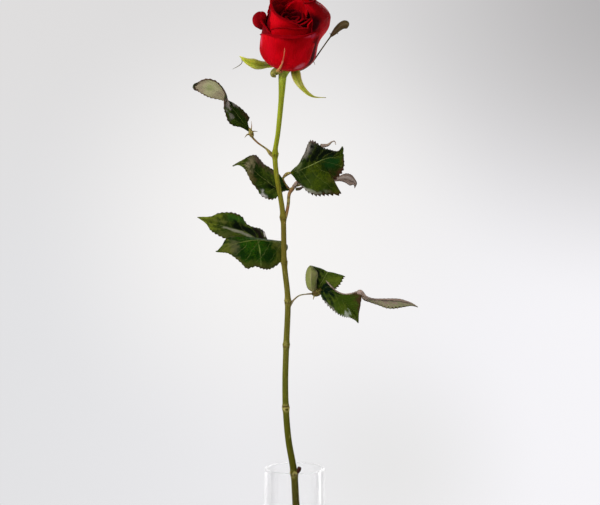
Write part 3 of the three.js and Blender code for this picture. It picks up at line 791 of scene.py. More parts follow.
def blade_places(rows, cup, teeth, tooth, levels, rough):
    """Rows of places for a blade that is laid between its three curves."""
    rows = np.array(numbers(rows)).reshape(-1, 3, 3)
    shares = [i / levels for i in range(levels + 1)]
    if teeth:
        shares = [(k + step) / teeth for k in range(teeth) for step in TOOTH_STEPS] + [1.0]
    seed = Vector(rows[1, 1]) * CRUMPLE["seed"]
    for t in shares:
        left, middle, right = [Vector(on_curve(rows[:, i], t)) for i in range(3)]
        face = (right - left).cross(Vector(way(rows[:, 1], t))).normalized()
        along = (t * teeth) % 1 if teeth else TOOTH["rise"]
        fall = (along - TOOTH["rise"]) / TOOTH["drop"]
        notch = 1 - along / TOOTH["rise"] if along < TOOTH["rise"] else fall
        places = []
        for column in range(-LEAF["columns"], LEAF["columns"] + 1):
            share = abs(column) / LEAF["columns"]
            half = int(column > 0)
            reach = (right if half else left) - middle
            fade = min(1, reach.length / NARROW)
            if share == 1:
                bite = tooth[half] * notch * fade / max(reach.length, 0.1)
                reach *= 1 - min(TOOTH["deepest"], bite)
            spot = middle + reach * share
            vein = math.sin(math.pi * (LEAF["veins"] * t - LEAF["slope"] * share)) ** 2
            quilt = LEAF["quilt"] * vein * 2.4 * share * (1 - 0.9 * share)
            lift = cup[half] * math.sin(math.pi * share) + quilt
            lift += noise.noise(spot * CRUMPLE["scale"] + seed) * rough * share
            lift -= CREASE["depth"] * max(0, 1 - share / CREASE["width"])
            places.append(spot + face * (lift * fade))
        yield places


def sheet(name, finishes, slot, columns, rows, place_of, thickness):
    """A grid laid on its places, with a thickness. The last finish is the edge's."""
    start_fresh()
    bpy.ops.mesh.primitive_grid_add(
        x_subdivisions=columns, y_subdivisions=rows, size=2, calc_uvs=True
    )
    piece = bpy.context.object
    for vertex in piece.data.vertices:
        vertex.co = place_of(vertex.co.x, (vertex.co.y + 1) / 2) * MM
    for finish in finishes:
        piece.data.materials.append(finish.material)
    modify(
        piece,
        "SOLIDIFY",
        thickness=thickness * MM,
        offset=0,
        material_offset=1,
        material_offset_rim=len(finishes) - 1,
    )
    return finished(piece, name, [], slot)


def blade(name, finishes, slot, rows, cup=(0.8, 0.8), thickness=LEAF["thickness"], **more):
    """A blade from a table of its three curves."""
    shape = {"teeth": 18, "tooth": (1.2, 1.2), "levels": 48, "rough": 1.2}
    shape.update(more)
    places = list(blade_places(rows, cup, **shape))
    columns, levels = len(places[0]) - 1, len(places) - 1

    def place_of(x, share):
        return places[round(share * levels)][round((x + 1) / 2 * columns)]

    return sheet(name, finishes, slot, columns, levels, place_of, thickness)


def leaflet(name, top, under, rows, **shape):
    """A blade with an upper face, an underside and a reddish rim."""
    return blade(name, [top, under, SKIN["leaf_rim"]], "leaf", rows, **shape)


# %% [markdown]
# ## The leaves' finish
# The upper face is dark, waxy green with a pale midrib, paler side veins and a fine net,
# all sunk a little. The underside is dull and pale grey-green with raised veins, and the
# edge of a tired leaf is reddish brown. Each leaflet has its own touches of colour, so a
# finish takes a table of them. Some are the leaf's own tones, such as brown margins; others
# are painted grey sheen and painted highlights where the blade turns to the light, and
# painted shade in the sunken parts of its folds. A row of such a table is a colour, a place
# and a size on the leaf's own map (from the left margin to the right, and from the stalk to
# the tip), and a strength.

# %% Veins, margins and touches


def vein_masks(finish):
    """Midrib, side veins, fine net and margin, each from 0 to 1, and what places touches."""
    u, v = finish.uv()
    share = abs(u * 2 - 1)
    drift = finish.speckle(finish.spot(), 95.0, 2.0)
    midrib = finish.step(share, 0.006, 0.032, 1.0, 0.0) * finish.step(v, 0.5, 1.0, 1.0, 0.3)
    line = finish.wave(v * LEAF["veins"] - share * LEAF["slope"] + 0.55 + drift * 0.9)
    side = finish.step(line, 0.965, 1.0) * finish.step(share, 0.6, 0.95, 1.0, 0.0)
    side = side * finish.step(drift, 0.38, 0.62, 0.35, 1.0)
    to_edge = {"feature": "DISTANCE_TO_EDGE"}
    inputs = {"Vector": finish.spot(), "Scale": 800.0}
    net = finish.step(finish.node("ShaderNodeTexVoronoi", to_edge, inputs), 0.0, 0.12, 1.0, 0.0)
    fine = finish.speckle(finish.spot(), 330.0, 3.0)
    margin = finish.step(share + (drift + fine) * 0.3 - 0.3, 0.86, 1.0)
    uneven = (drift - 0.5) * 1.1 + (fine - 0.5) * 1.6 + (line - 0.5) * 0.35
    return midrib, side, net, margin, (u, v, uneven)


TOUCH_FADES = (0.25, 1.2)  # in shares of a touch's size


def touched(finish, tint, where, touches):
    """The tint with each touch of a table laid over it."""
    u, v, uneven = where
    for *colour, at_u, at_v, wide, long, strength in numbers(touches):
        x, y = (u - at_u) / wide, (v - at_v) / long
        away = (x * x + y * y) ** 0.5 + uneven
        amount = finish.step(away, *TOUCH_FADES, strength, 0.0)
        tint = finish.mixed(amount, tint, tuple(colour))
    return tint


# %% Leaf finishes
BROWN_EDGE = tuple(numbers("brown")[0])
LEAF_VEIN = (0.17, 0.20, 0.05)
LEAF_NET = (0.070, 0.100, 0.004)
UNDER_VEIN = (0.34, 0.33, 0.20)


def leaf_top(name, deep, light, touches="", edge=BROWN_EDGE, wax="", rib=0.75):
    """The waxy upper face of a leaflet. Wax is where it mirrors the light most."""
    finish = Finish(name, Specular_IOR_Level=0.02, Coat_Roughness=0.22, Coat_IOR=1.5)
    midrib, side, net, margin, where = vein_masks(finish)
    clouds = finish.speckle(finish.spot(), 75.0, 3.0)
    mottle = finish.speckle(finish.spot(), 520.0, 3.0)
    tint = finish.mixed(finish.step(clouds, 0.42, 0.60), deep, light)
    tint = finish.mixed(finish.step(mottle, 0.42, 0.60, 0.0, 0.75), tint, deep)
    tint = finish.mixed(net * finish.step(clouds, 0.4, 0.6, 0.10, 0.45), tint, LEAF_NET)
    tint = touched(finish, tint, where, touches)
    tint = finish.mixed(side * 0.26, tint, LEAF_VEIN)
    tint = finish.mixed(midrib * rib, tint, LEAF_VEIN)
    finish.colour(finish.mixed(margin * 0.85, tint, edge))
    finish.roughness(finish.step(mottle, 0.2, 0.8, 0.42, 0.58))
    gloss = touched(finish, (0.0, 0.0, 0.0), where, wax)
    shine = finish.node("ShaderNodeRGBToBW", {}, {0: gloss}) if wax else 0.0
    finish.feed(finish.shader.inputs["Coat Weight"], shine)
    finish.bump(1 - midrib * 0.9 - side * 0.6 - net * 0.22 + mottle * 0.4 + clouds * 1.5, 0.0006)
    return finish


def leaf_under(name, dull, warm, touches="", edge=BROWN_EDGE, vein=UNDER_VEIN):
    """The dull, pale underside of a leaflet, with raised veins."""
    finish = Finish(name, Specular_IOR_Level=0.04)
    midrib, side, net, margin, where = vein_masks(finish)
    clouds = finish.speckle(finish.spot(), 85.0, 3.0)
    mottle = finish.speckle(finish.spot(), 700.0, 3.0)
    tint = finish.mixed(finish.step(clouds, 0.40, 0.62), dull, warm)
    tint = touched(finish, tint, where, touches)
    for mask, strength in ((net, 0.20), (side, 0.45), (midrib, 0.8)):
        tint = finish.mixed(mask * strength, tint, vein)
    finish.colour(finish.mixed(margin * 0.9, tint, edge))
    finish.roughness(finish.step(mottle, 0.2, 0.8, 0.55, 0.75))
    finish.bump(midrib + side * 0.7 + net * 0.3 + mottle * 0.2, 0.00028)
    return finish


green_under = leaf_under("leaf_green_under", (0.15, 0.18, 0.045), (0.2, 0.21, 0.08))
mauve_under = leaf_under(
    "leaf_mauve_under", (0.42, 0.31, 0.25), (0.26, 0.19, 0.15),
    """
    0.52 0.45 0.4  0.62 0.4  0.2 0.4  0.8
    0.12 0.085 0.07  0.4 0.55  0.06 0.45  0.8
    0.15 0.105 0.085  0.85 0.6  0.08 0.35  0.7
    """,
    vein=(0.46, 0.37, 0.3),
)
print("leaf finishes ready")

# %% [markdown]
# ## The four leaves
# Each leaf's stalk springs from a node of the stem and ends in a knobby joint, from which
# the leaflets hang. The tables give the leaflets in millimetres, three places to a row.

# %% The upper left leaf
# It hangs out on a thin stalk and twists over half way, so that its outer half shows its
# pale underside.
# Painted light on this face: grey sheen at the twist (first two rows) and a small painted highlight
# (third row).
upper_left_top = leaf_top(
    "upper_left_top", (0.006, 0.015, 0.001), (0.02, 0.036, 0.003),
    """
    grey_wax  0.26 0.4  0.2 0.08  0.95
    grey_wax  0.85 0.36  0.2 0.07  0.7
    0.15 0.14 0.11  0.2 0.25  0.12 0.035  0.8
    brown  0.9 0.18  0.2 0.12  0.6
    0.02 0.01 0.006  0 0.42  0.07 0.3  0.9
    """,
    wax="white  0.2 0.4  0.2 0.1  0.6",
)
upper_left_under = leaf_under(
    "upper_left_under", (0.265, 0.25, 0.135), (0.215, 0.17, 0.11),
    """
    0.16 0.19 0.06  0.5 0.74  0.2 0.08  0.6
    0.03 0.018 0.012  0 0.75  0.1 0.5  1
    0.04 0.025 0.016  0.5 1  1.2 0.075  0.95
    0.022 0.014 0.01  0 0.57  0.22 0.13  1
    """,
)
leaflet(
    "upper_left_end", upper_left_top, upper_left_under,
    """
    -34.7 -42 464.6  -34.1 -42 464.8  -33.5 -42 465.1
    -40.1 -45 467.6  -36.7 -43.5 469  -35 -43 471.2
    -45.9 -48 468.8  -40.4 -44.5 473.9  -33.5 -42 475
    -50.3 -50 472.6  -43.7 -45.5 478.4  -38.2 -42 480.2
    -52.2 -51 478.5  -46.6 -46 482.4  -42.6 -42 483.9
    -52.6 -51 483.7  -48.9 -46.5 486.3  -47 -42.5 486.5
    -50.2 -50 489.4  -51.2 -46.5 489  -52.2 -44 487.2
    -51 -49 493.3  -54.9 -46 492.8  -56.8 -45 488.2
    -54 -48.5 498.2  -59.8 -45 495.6  -62.4 -46 489.3
    -58.6 -48 502.5  -65.2 -44 497.3  -67.2 -46 491.3
    -65.3 -46 504.1  -70.3 -42.5 497.8  -71.4 -44 493.7
    -71 -43 502  -73.8 -41 497.7  -74.3 -41.5 495.4
    -75.9 -40 498.1  -76.3 -40 497.6  -76.3 -40 497
    """,
    cup=(1, 1), teeth=22, tooth=(0.7, 0.9),
)
upper_left = stalk(
    "upper_left_stalk", SKIN["stalk_skin"], "leaf",
    "-14.6 -37 441 1.2, -15.6 -37.2 445 1.5, -18.5 -37.5 448.1 1.5, -21.5 -38 451.4 0.75, "
    "-27.5 -39.5 455.7 0.7, -31.9 -41 460.3 0.8, -34.2 -42 464.4 0.7",
)
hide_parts("leaf_upper_left")
stalks("leaf", {
    "upper_left_joint": ("joint_skin",
        "-31.4 -41 459.4 0.5, -32.2 -41.3 461.8 1.9, -33 -42 464.6 1.6, -34 -42.4 467.2 0.4"),
    "upper_left_prickle_low": ("joint_skin",
        "-33 -42 462.6 0.9, -35.6 -43 462 0.5, -37.4 -43.2 459.8 0.12"),
    "upper_left_prickle_high": ("joint_skin",
        "-32.6 -42 463.4 0.9, -30.4 -42 464.6 0.4, -27.6 -42 464.2 0.1"),
    "upper_left_roll": ("dark_curl",
        "-51.4 -50.4 479.5 0.3, -52 -51 484 0.6, -51.9 -51 488.2 0.8, -51.4 -50.2 492.4 0.7, "
        "-53.3 -49.4 496.6 0.5, -55.9 -48.8 499.6 0.45, -58.6 -48.2 501.7 0.2"),
    "upper_left_tip_curl": ("dark_curl",
        "-71.6 -43 501.3 0.2, -74.8 -42 499.7 0.5, -75.6 -41.6 497.6 0.6, -74.2 -42 495.7 0.75, "
        "-71.8 -43 495.6 0.3"),
    "upper_left_fold": ("grey_curl",
        "-47.6 -44.6 479 0.2, -48.9 -46.6 481.6 1.1, -49.7 -47.6 484.8 1.6, -50.4 -48.4 488.2 1, "
        "-51 -49 492 0.3"),
    "upper_left_stipule": ("stalk_skin",
        "-32.8 -42 464 0.7, -32.2 -41.6 468 0.3, -32.4 -41.4 472.4 0.08"),
})

# %% The right leaf
# Its end leaflet is the largest of all: torn, with one curled lobe and a notch. The left
# leaflet passes behind the stem, and the far one shows only its mauve underside.
# Painted light and shade on this face: a grey-pink painted highlight along the fold (second row),
# painted shade in the sunken part (fourth row) and a small painted highlight by the left margin
# (sixth row).
right_leaf_left_top = leaf_top(
    "right_leaf_left_top", (0.006, 0.02, 0.001), (0.036, 0.055, 0.005),
    """
    0.14 0.17 0.03  0.5 0.9  0.9 0.13  0.9
    0.23 0.195 0.1  0.5 0.67  0.6 0.085  0.9
    0.075 0.045 0.03  0.97 0.52  0.22 0.22  0.8
    hollow  0.4 0.25  0.25 0.14  0.8
    0.06 0.045 0.012  0.15 0.62  0.2 0.12  0.7
    0.34 0.32 0.3  0.05 0.405  0.12 0.05  0.85
    """,
    wax="white  0.06 0.4  0.15 0.08  0.6, white  0.6 0.7  0.4 0.06  0.3",
)
leaflet(
    "right_leaf_left", right_leaf_left_top, mauve_under,
    """
    -4.3 -31 419.4  -3.9 -31 420.1  -3.5 -31 420.8
    -8 -34 418.4  -9.2 -29.5 421.9  -6.1 -27 424
    -11.8 -37 415.2  -13.7 -28.5 421.5  -9.1 -24 428.6
    -16.3 -38 412.8  -17.9 -27.5 423.7  -13.4 -22.5 433
    -21.1 -37 412.9  -22.1 -27 427.1  -19.1 -21.5 436.2
    -25.7 -35 415.5  -26.3 -27 430.1  -23.3 -22 439
    -29.9 -34 421.5  -30 -28 433.6  -26.3 -25 443.1
    -34 -33 427.9  -33.4 -30.5 437.2  -29.4 -29 446.3
    -36.7 -33 433.8  -36.7 -33 439.6  -33.7 -33 446.1
    -39.2 -34 437.2  -40.4 -35 440  -38.4 -36 443.3
    -42.6 -36 439  -43.4 -37 439.9  -42.6 -38 441.1
    -46.5 -39 438.1  -46.8 -39 438.4  -46.5 -39 438.7
    """,
    cup=(1.4, 0.8), teeth=20, tooth=(1.2, 0.5),
)
# Painted light and shade on this face: painted grey sheen on the upper lobe (first row), painted
# shade in two sunken parts (fourth and fifth rows) and a painted highlight along the lower margin
# (sixth row).
right_leaf_end_top = leaf_top(
    "right_leaf_end_top", (0.006, 0.016, 0.001), (0.03, 0.043, 0.001),
    """
    grey_wax  0.15 0.37  0.17 0.14  0.85
    0.19 0.12 0.1  0.02 0.47  0.07 0.1  0.9
    0.13 0.105 0.075  0.08 0.24  0.13 0.12  0.75
    hollow  0.26 0.68  0.31 0.38  1
    hollow  0.38 0.42  0.1 0.14  0.9
    0.24 0.23 0.19  0.94 0.3  0.05 0.16  0.85
    0.004 0.03 0.004  0.62 0.72  0.2 0.14  0.8
    0.09 0.11 0.035  0.2 0.15  0.4 0.1  0.7
    0.05 0.018 0.009  1 0.8  0.17 0.3  0.95
    0.075 0.06 0.012  0.05 0.85  0.22 0.1  0.8
    0.045 0.07 0.004  0.8 0.36  0.2 0.2  0.4
    0.05 0.036 0.008  0.85 0.62  0.14 0.1  0.6
    """,
    wax="white  0.15 0.36  0.12 0.1  0.4",
)
leaflet(
    "right_leaf_end", right_leaf_end_top, mauve_under,
    """
    -3.2 -37 433.6  -2.9 -37 433  -2.6 -37 432.4
    -0.9 -38 436.4  -0.1 -39.5 434  -0.3 -41 429.8
    2.3 -39 439.6  2.6 -41.5 435  3 -46 425.6
    5.4 -40 443.7  5.6 -43 436.2  6.8 -50 421.9
    8.1 -41 448.7  8.4 -44.5 437.6  11.2 -53 418.3
    9.8 -43 454.8  11.1 -45.5 438.9  16.3 -55 416.3
    11.4 -44 458.4  13.5 -46 440  22 -55 416.6
    15.2 -41 457.6  15.7 -46 441.2  27.9 -54 417
    19 -38 454.4  18 -45.5 442.2  35.1 -53 417.7
    22.1 -36.5 452.3  21.3 -44 443.6  29.1 -48 425.4
    25.9 -36 450.7  25.4 -42.5 444.6  33 -46 429.8
    29.7 -35 449.8  29.3 -41.5 445  36.6 -45 434.7
    33.3 -34 450.3  32.9 -40.5 446  37.5 -43 440.1
    36.2 -33 453.4  35.3 -39 447.9  36.8 -41 444.5
    36.1 -36 450.3  36.3 -38 447.7  36.5 -39.5 446.2
    """,
    cup=(1.6, 1.6), teeth=27, tooth=(1.5, 1.8), rough=2,
)
stalks("leaf", {
    "right_leaf_curl": ("pink_curl",
        "19.6 -37.6 453.4 1.6, 24.8 -37 454 1.1, 27.8 -37 456.3 0.6, 30.1 -37 456.9 0.4, "
        "31 -37 454.2 0.25"),
})
leaflet(
    "right_leaf_far", right_leaf_left_top, mauve_under,
    """
    29.1 -24 425.8  29.2 -23 426.5  29.2 -22 427.2
    34.4 -25 425.9  34.2 -21 427.8  34.6 -19 430.1
    38.7 -26 424.7  39.1 -20.5 427.9  39.2 -17.5 431.5
    42 -26 422.9  42.6 -21 426.9  43.3 -18 430.6
    44.5 -25 423.6  45.2 -22 425.4  45.9 -20.5 427.7
    45.4 -24.5 422.1  46.2 -23.5 423.2  47.3 -23 424.6
    45.4 -25 420.7  45.5 -25 420.9  45.8 -25 421.2
    """,
    cup=(0.6, 0.6), teeth=14, tooth=(0.5, 0.5),
)
right_leaf = stalk(
    "right_leaf_stalk", SKIN["stalk_skin"], "leaf",
    "-8.6 -35.2 391 0.9, -8 -35.6 396.4 1.3, -6.5 -35 400.6 1.25, -4.9 -33 408.5 1.25, "
    "-4.1 -32.4 416.7 1.3, -1.4 -32.8 421 1.5, 0.4 -32.8 424 0.9",
)
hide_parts("leaf_right")
stalks("leaf", {
    "right_leaf_neck": ("joint_skin",
        "-4.2 -30.2 419.6 0.8, -7.4 -31.4 425 0.7, -8.6 -33.4 428.8 0.8, -6 -35.6 432 1.35, "
        "-2.6 -37 433.2 0.8"),
    "right_leaf_far_stalk": ("stalk_skin",
        "-0.6 -32 422.4 0.9, 8 -27 424.4 0.7, 20 -24 427.4 0.7, 30.4 -23.2 427.4 0.5"),
    "right_leaf_left_stalk": ("stalk_skin",
        "-0.6 -31.8 422 0.9, -2.6 -31.2 421 0.8, -4.6 -30.6 420.4 0.6"),
    "right_leaf_stipule_a": ("pink_curl",
        "-0.6 -33.4 422.2 1.6, 1.6 -34.6 425.6 1.3, 4.4 -35 426.6 0.4"),
    "right_leaf_stipule_b": ("dark_curl", "1 -33.8 420.6 1.2, 4 -34.6 421 1.1, 7 -35 423 0.3"),
    "right_leaf_stipule_c": ("dark_curl",
        "0.8 -33.6 423 0.7, 2.4 -34.6 424.2 0.6, 3.6 -34.8 427.4 0.15"),
})

# %% The left leaf
# Two leaflets lie over each other. The upper one has a deep fold along its midrib, and the
# lower one is folded back so that its upper edge is straight.
# Painted light and shade on this face: painted shade in two sunken parts above the crease (third
# and fourth rows), a painted highlight along the crease (fifth row), and near-black painted shade
# on the curled end by the stalk with a painted glint on it (sixth and seventh rows).
left_leaf_upper_top = leaf_top(
    "left_leaf_upper_top", (0.022, 0.04, 0.003), (0.065, 0.085, 0.008),
    """
    0.155 0.185 0.016  0.5 0.86  0.9 0.22  0.85
    0.02 0.075 0.006  0.85 0.52  0.22 0.12  0.8
    hollow  0.69 0.36  0.17 0.23  1
    hollow  0.6 0.39  0.11 0.19  1
    0.24 0.235 0.165  0.45 0.43  0.06 0.19  0.9
    0.01 0.006 0.005  0.9 0.19  0.35 0.13  1
    0.5 0.46 0.42  0.84 0.17  0.14 0.026  0.95
    0.11 0.12 0.025  0.62 0.68  0.06 0.12  0.7
    0.085 0.09 0.022  0.1 0.5  0.3 0.2  0.5
    """,
    wax="white  0.45 0.4  0.1 0.2  0.4",
)
leaflet(
    "left_leaf_upper", left_leaf_upper_top, green_under,
    """
    -8.1 -21 376.2  -8.1 -21 377  -8.1 -21 377.8
    -15.8 -21.5 371.7  -15.8 -20 375.8  -20.6 -18 380.2
    -23.4 -23 370.3  -23.4 -20 378.1  -23.2 -15 386.8
    -30.2 -26 370.6  -30.6 -22 382.9  -26.4 -15.5 389.3
    -37.7 -29 372.4  -37.1 -23.5 386.9  -31.3 -17.5 390.2
    -44.2 -32 376.5  -43.9 -25.5 389.2  -36 -20 393.4
    -49.8 -34 380.8  -49.1 -27.5 390.7  -40.3 -22 399.3
    -54.9 -35 383.5  -53.9 -29.5 392.1  -45.4 -24 402.1
    -59.8 -35.5 386.6  -58.7 -31 393.5  -51.5 -27 402.9
    -63.8 -36 389.5  -63 -32.5 395.1  -57.6 -30 402.3
    -66.8 -36 394.5  -67.5 -34.5 397  -63.3 -33.5 399.9
    -71.9 -36 398.5  -72.5 -36 399.1  -71.2 -36 399.7
    -73.3 -36.5 399.3  -73.4 -36.5 399.5  -73.3 -36.5 399.6
    """,
    cup=(1.2, 1.6), teeth=22, tooth=(1.2, 0.8),
)
left_leaf_lower_top = leaf_top(
    "left_leaf_lower_top", (0.002, 0.017, 0.0005), (0.006, 0.042, 0.001),
    """
    0.09 0.1 0.012  0.2 0.78  0.9 0.16  0.8
    0.085 0.08 0.04  0.4 0.65  0.6 0.07  0.5
    0.05 0.058 0.008  0.04 0.35  0.1 0.5  0.7
    0.095 0.105 0.014  0.35 0.09  0.9 0.09  0.75
    0.16 0.2 0.05  0.32 0.345  0.34 0.0055  0.75
    """,
    edge=(0.05, 0.042, 0.012),
)
leaflet(
    "left_leaf_lower", left_leaf_lower_top, green_under,
    """
    -5.8 -24 373.5  -6.6 -23 378.3  -6.6 -22 379.9
    -9.3 -30 366.4  -11.9 -28 379.5  -11.9 -24 380.4
    -14.3 -35 361.9  -17.1 -33 380.6  -17.2 -27 381.2
    -19.5 -39 359.9  -22 -36.5 381.7  -22.1 -29 382
    -24.3 -42 360.5  -26.9 -38.5 382.5  -27 -30.5 382.9
    -29.4 -43.5 362.3  -31.8 -40 382.4  -32.3 -31 383.6
    -35.7 -44 360.7  -36.6 -40.5 381.7  -37.6 -32 384.1
    -40.1 -43 365  -41.3 -40.5 380.7  -42.9 -33 384.5
    -44.9 -42 369.1  -46.2 -40 379.3  -48.6 -34.5 384.7
    -49.9 -40.5 372.3  -51 -39.5 377.4  -52.6 -36 382.4
    -54.5 -39.5 373  -55.3 -39 375.5  -54.7 -37.5 378.3
    -58.2 -38.5 373.3  -58.6 -38.5 374  -57.7 -38.5 375
    -59.5 -38.5 373.7  -59.7 -38.5 373.9  -59.5 -38.5 374
    """,
    cup=(1.8, 0.4), teeth=24, tooth=(0.8, 0.1),
)
left_leaf = stalk(
    "left_leaf_stalk", SKIN["stalk_skin"], "leaf",
    "-7.8 -32 362.4 1.9, -8 -29.3 364.6 1.3, -8.2 -26 369.5 1.1, -8.4 -23 375.6 1, "
    "-8.8 -21.6 378.6 0.9, -12 -21 379.6 0.5",
)
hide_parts("leaf_left")

# %% The lower right leaf
# Four leaflets: one folded double behind, one rolled so that it shows its pale back, one in
# front, and the last one hanging far out, edge on.
# Painted shade deep in the fold (first row).
lower_right_folded_top = leaf_top(
    "lower_right_folded_top", (0.014, 0.034, 0.003), (0.045, 0.07, 0.007),
    """
    hollow  0.2 0.28  0.25 0.34  1
    0.085 0.115 0.01  0.85 0.35  0.25 0.15  0.8
    0.16 0.16 0.06  0.03 0.42  0.08 0.16  0.8
    """,
)
leaflet(
    "lower_right_folded", lower_right_folded_top, green_under,
    """
    17 -36 344.2  17.7 -36 344.2  18.8 -36 343.7
    14.2 -38 348.2  18.9 -37 347.8  24.5 -37 344
    12.4 -39.5 354.5  20.9 -38.5 351.3  30.6 -37.5 344.6
    11.8 -39.5 359.3  22.8 -38.5 354.7  34.8 -37 348.2
    11.8 -38 362.2  24.6 -37.5 357.6  37.7 -35.5 353.3
    12.1 -36 362.6  25 -34.8 357.9  38.1 -33 353.6
    13.6 -34 359.5  25.3 -32 354.9  35.2 -31 350.5
    17.7 -33 352.2  26.1 -31 350.2  32.2 -30.5 347.8
    26.6 -30 345.2  26.9 -30 345  27.2 -30 344.8
    """,
    cup=(0.4, 0.4), teeth=20, rough=0.5,
)
lower_right_pale = leaf_under(
    "lower_right_pale", (0.155, 0.175, 0.042), (0.21, 0.2, 0.07),
    """
    0.1 0.085 0.055  0 0.5  0.22 0.7  0.8
    0.05 0.05 0.015  0.15 0.8  0.3 0.1  0.8
    """,
    edge=(0.06, 0.045, 0.025),
)
leaflet(
    "lower_right_rolled", lower_right_folded_top, lower_right_pale,
    """
    17.3 -37 342.5  15.9 -37 342.1  14.7 -37 342.1
    16.9 -37 346.9  13 -43 347  10.1 -38.5 345.5
    18 -37.5 351.5  12.4 -45 351.3  8.5 -39 350.1
    18.4 -38 356.1  12.5 -45 356.1  8.2 -39 355.6
    16.3 -38.5 359.8  12.4 -43 360.2  9.4 -39 360.2
    12.2 -39 362.9  11.8 -39.5 363.1  11.3 -39 362.9
    """,
    cup=(-0.6, -0.6), teeth=14, tooth=(0.5, 0.5),
)
# Painted light and shade on this face: near-black painted shade across the blade near the stalk
# (first row) and a painted highlight (third row).
lower_right_front_top = leaf_top(
    "lower_right_front_top", (0.028, 0.052, 0.003), (0.055, 0.08, 0.006),
    """
    0.002 0.008 0.003  0.42 0.15  0.9 0.22  1
    0.05 0.024 0.01  0.04 0.8  0.26 0.28  0.95
    0.36 0.39 0.32  0.9 0.62  0.22 0.09  0.75
    0.3 0.28 0.24  0.97 0.28  0.06 0.14  0.8
    0.3 0.25 0.2  0.02 0.48  0.06 0.22  0.9
    """,
    wax="white  0.85 0.62  0.2 0.08  0.35",
    rib=0.15,
)
leaflet(
    "lower_right_front", lower_right_front_top, green_under,
    """
    19.7 -37 345.8  19.5 -37 344.3  19.5 -37 342.5
    23.8 -37 351.1  23 -40 344.6  20.4 -42 338.8
    27.5 -38 347.4  26.7 -42.5 343.4  23.7 -46 334.3
    31.8 -39.5 343.5  30.2 -44 341.8  27.7 -49 330.7
    36.9 -40.5 341.2  33.5 -45.5 339.7  31.6 -51 327.6
    41.9 -40.5 341.8  36.8 -46.5 337.2  34.9 -52 325.8
    46.9 -39.5 343.7  39.6 -47 334.4  37.9 -51.5 324.9
    50.2 -40.5 342.4  42.2 -47 331.3  41.2 -50.5 324.4
    50 -42.5 335.8  44.3 -46.5 328.1  44 -49 323.2
    48.6 -43.5 328.3  46.3 -45.5 324.5  46.1 -46.5 321.9
    48.2 -44 320  48 -44 320  47.9 -44 320
    """,
    cup=(1.2, 1.4), teeth=20, tooth=(0.6, 1.7),
)
lower_right_end_under = leaf_under(
    "lower_right_end_under", (0.19, 0.185, 0.095), (0.155, 0.165, 0.075),
    """
    0.22 0.15 0.125  0.95 0.5  0.8 0.95  1
    0.03 0.018 0.014  0.6 0.58  0.13 0.5  1
    0.34 0.28 0.23  0.5 0.1  0.9 0.14  0.9
    """,
    edge=(0.12, 0.1, 0.05),
)
leaflet(
    "lower_right_end", lower_right_folded_top, lower_right_end_under,
    """
    49.1 -40 341.9  49.9 -40 342.8  50.8 -40 343.7
    52 -37 336.8  53.4 -36 338.4  54.7 -35 339.6
    58 -35 334.3  58.8 -33 336  59.6 -31.5 337.4
    64.8 -34.5 331.8  65.7 -31.5 335.1  65.8 -28 336.6
    70.9 -34.5 329.9  72.1 -31 334.7  72.7 -27 336.7
    77 -34 329.6  78.7 -30.5 334.3  79.3 -26.5 336.3
    83.6 -32.5 330.8  84.3 -30 333.5  84.9 -27 335
    89 -31 331.4  89.1 -29.5 332.2  89.4 -28 333.3
    94 -28.5 330.1  94 -28.5 330.3  94 -28.5 330.4
    """,
    cup=(0.5, 0.5), teeth=18, tooth=(2.8, 0.5),
)
lower_right = stalk(
    "lower_right_stalk", SKIN["dull_stalk"], "leaf",
    "-5 -31 329.6 1.5, -3 -31 332.9 1.1, -0.5 -31.4 336.2 0.65, 3.5 -32.6 339.5 0.55, "
    "8.5 -34 340.7 0.5, 13.6 -35 341.3 0.75, 18.4 -36.3 342.6 0.7",
)
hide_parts("leaf_lower_right")
stalks("leaf", {
    "lower_right_joint": ("knob_skin",
        "13.2 -35.6 341.2 0.8, 15.4 -37.2 341.8 2.7, 18 -37.6 343 2.8, 20.2 -37.4 345 0.9"),
    "lower_right_prickle": ("joint_skin",
        "15 -37.4 340.6 0.7, 14.4 -37.6 338.6 0.4, 14 -37.4 336.8 0.12"),
    "lower_right_far_stalk": ("stalk_skin",
        "18 -35.6 342.8 0.8, 27 -36 341 0.7, 38 -38.6 340.4 0.8, 47.6 -40.4 342 0.9"),
    "lower_right_twist": ("pink_curl",
        "47.2 -40.6 342.4 1.4, 49.6 -40.6 342.8 2.2, 52 -38.6 340 2, 55.2 -36.6 337.2 1.2"),
    "lower_right_rolled_edge": ("pink_curl",
        "23.4 -38.4 352 0.4, 27.6 -39.4 347.4 0.6, 32 -41 343.4 0.8, 37.6 -41.6 341.4 0.8, "
        "43.2 -41.4 342 0.8, 48 -40.6 343.6 0.5"),
})

# %% [markdown]
# ## Petals
# A rose petal is a shallow spoon. It springs from the receptacle, cups outward to the width
# of the bloom, rises, and its rim rolls over outward in a lip. Each petal's place is worked
# out round the bloom's own axis, which nods forward and to the right: first the body of the
# spoon, then the lip, which is a part of a circle whose radius changes across the petal. One
# side edge lies outside its neighbour's, so that the whorl is spiral.

# %% The bloom's own axes
BLOOM = {"base": (-7.4, -39.6, 512.2), "tilt": (0.15, -0.42), "root": 3.0, "cup": 13.8}
BLOOM_BASE = Vector(BLOOM["base"])
BLOOM_AXIS = Vector((*BLOOM["tilt"], 1)).normalized()
BLOOM_TURN = Vector((0, 0, 1)).rotation_difference(BLOOM_AXIS)
PETAL = {"thickness": 0.5, "columns": 30, "rows": 40, "body": 0.84, "thinnest_lip": 0.3}
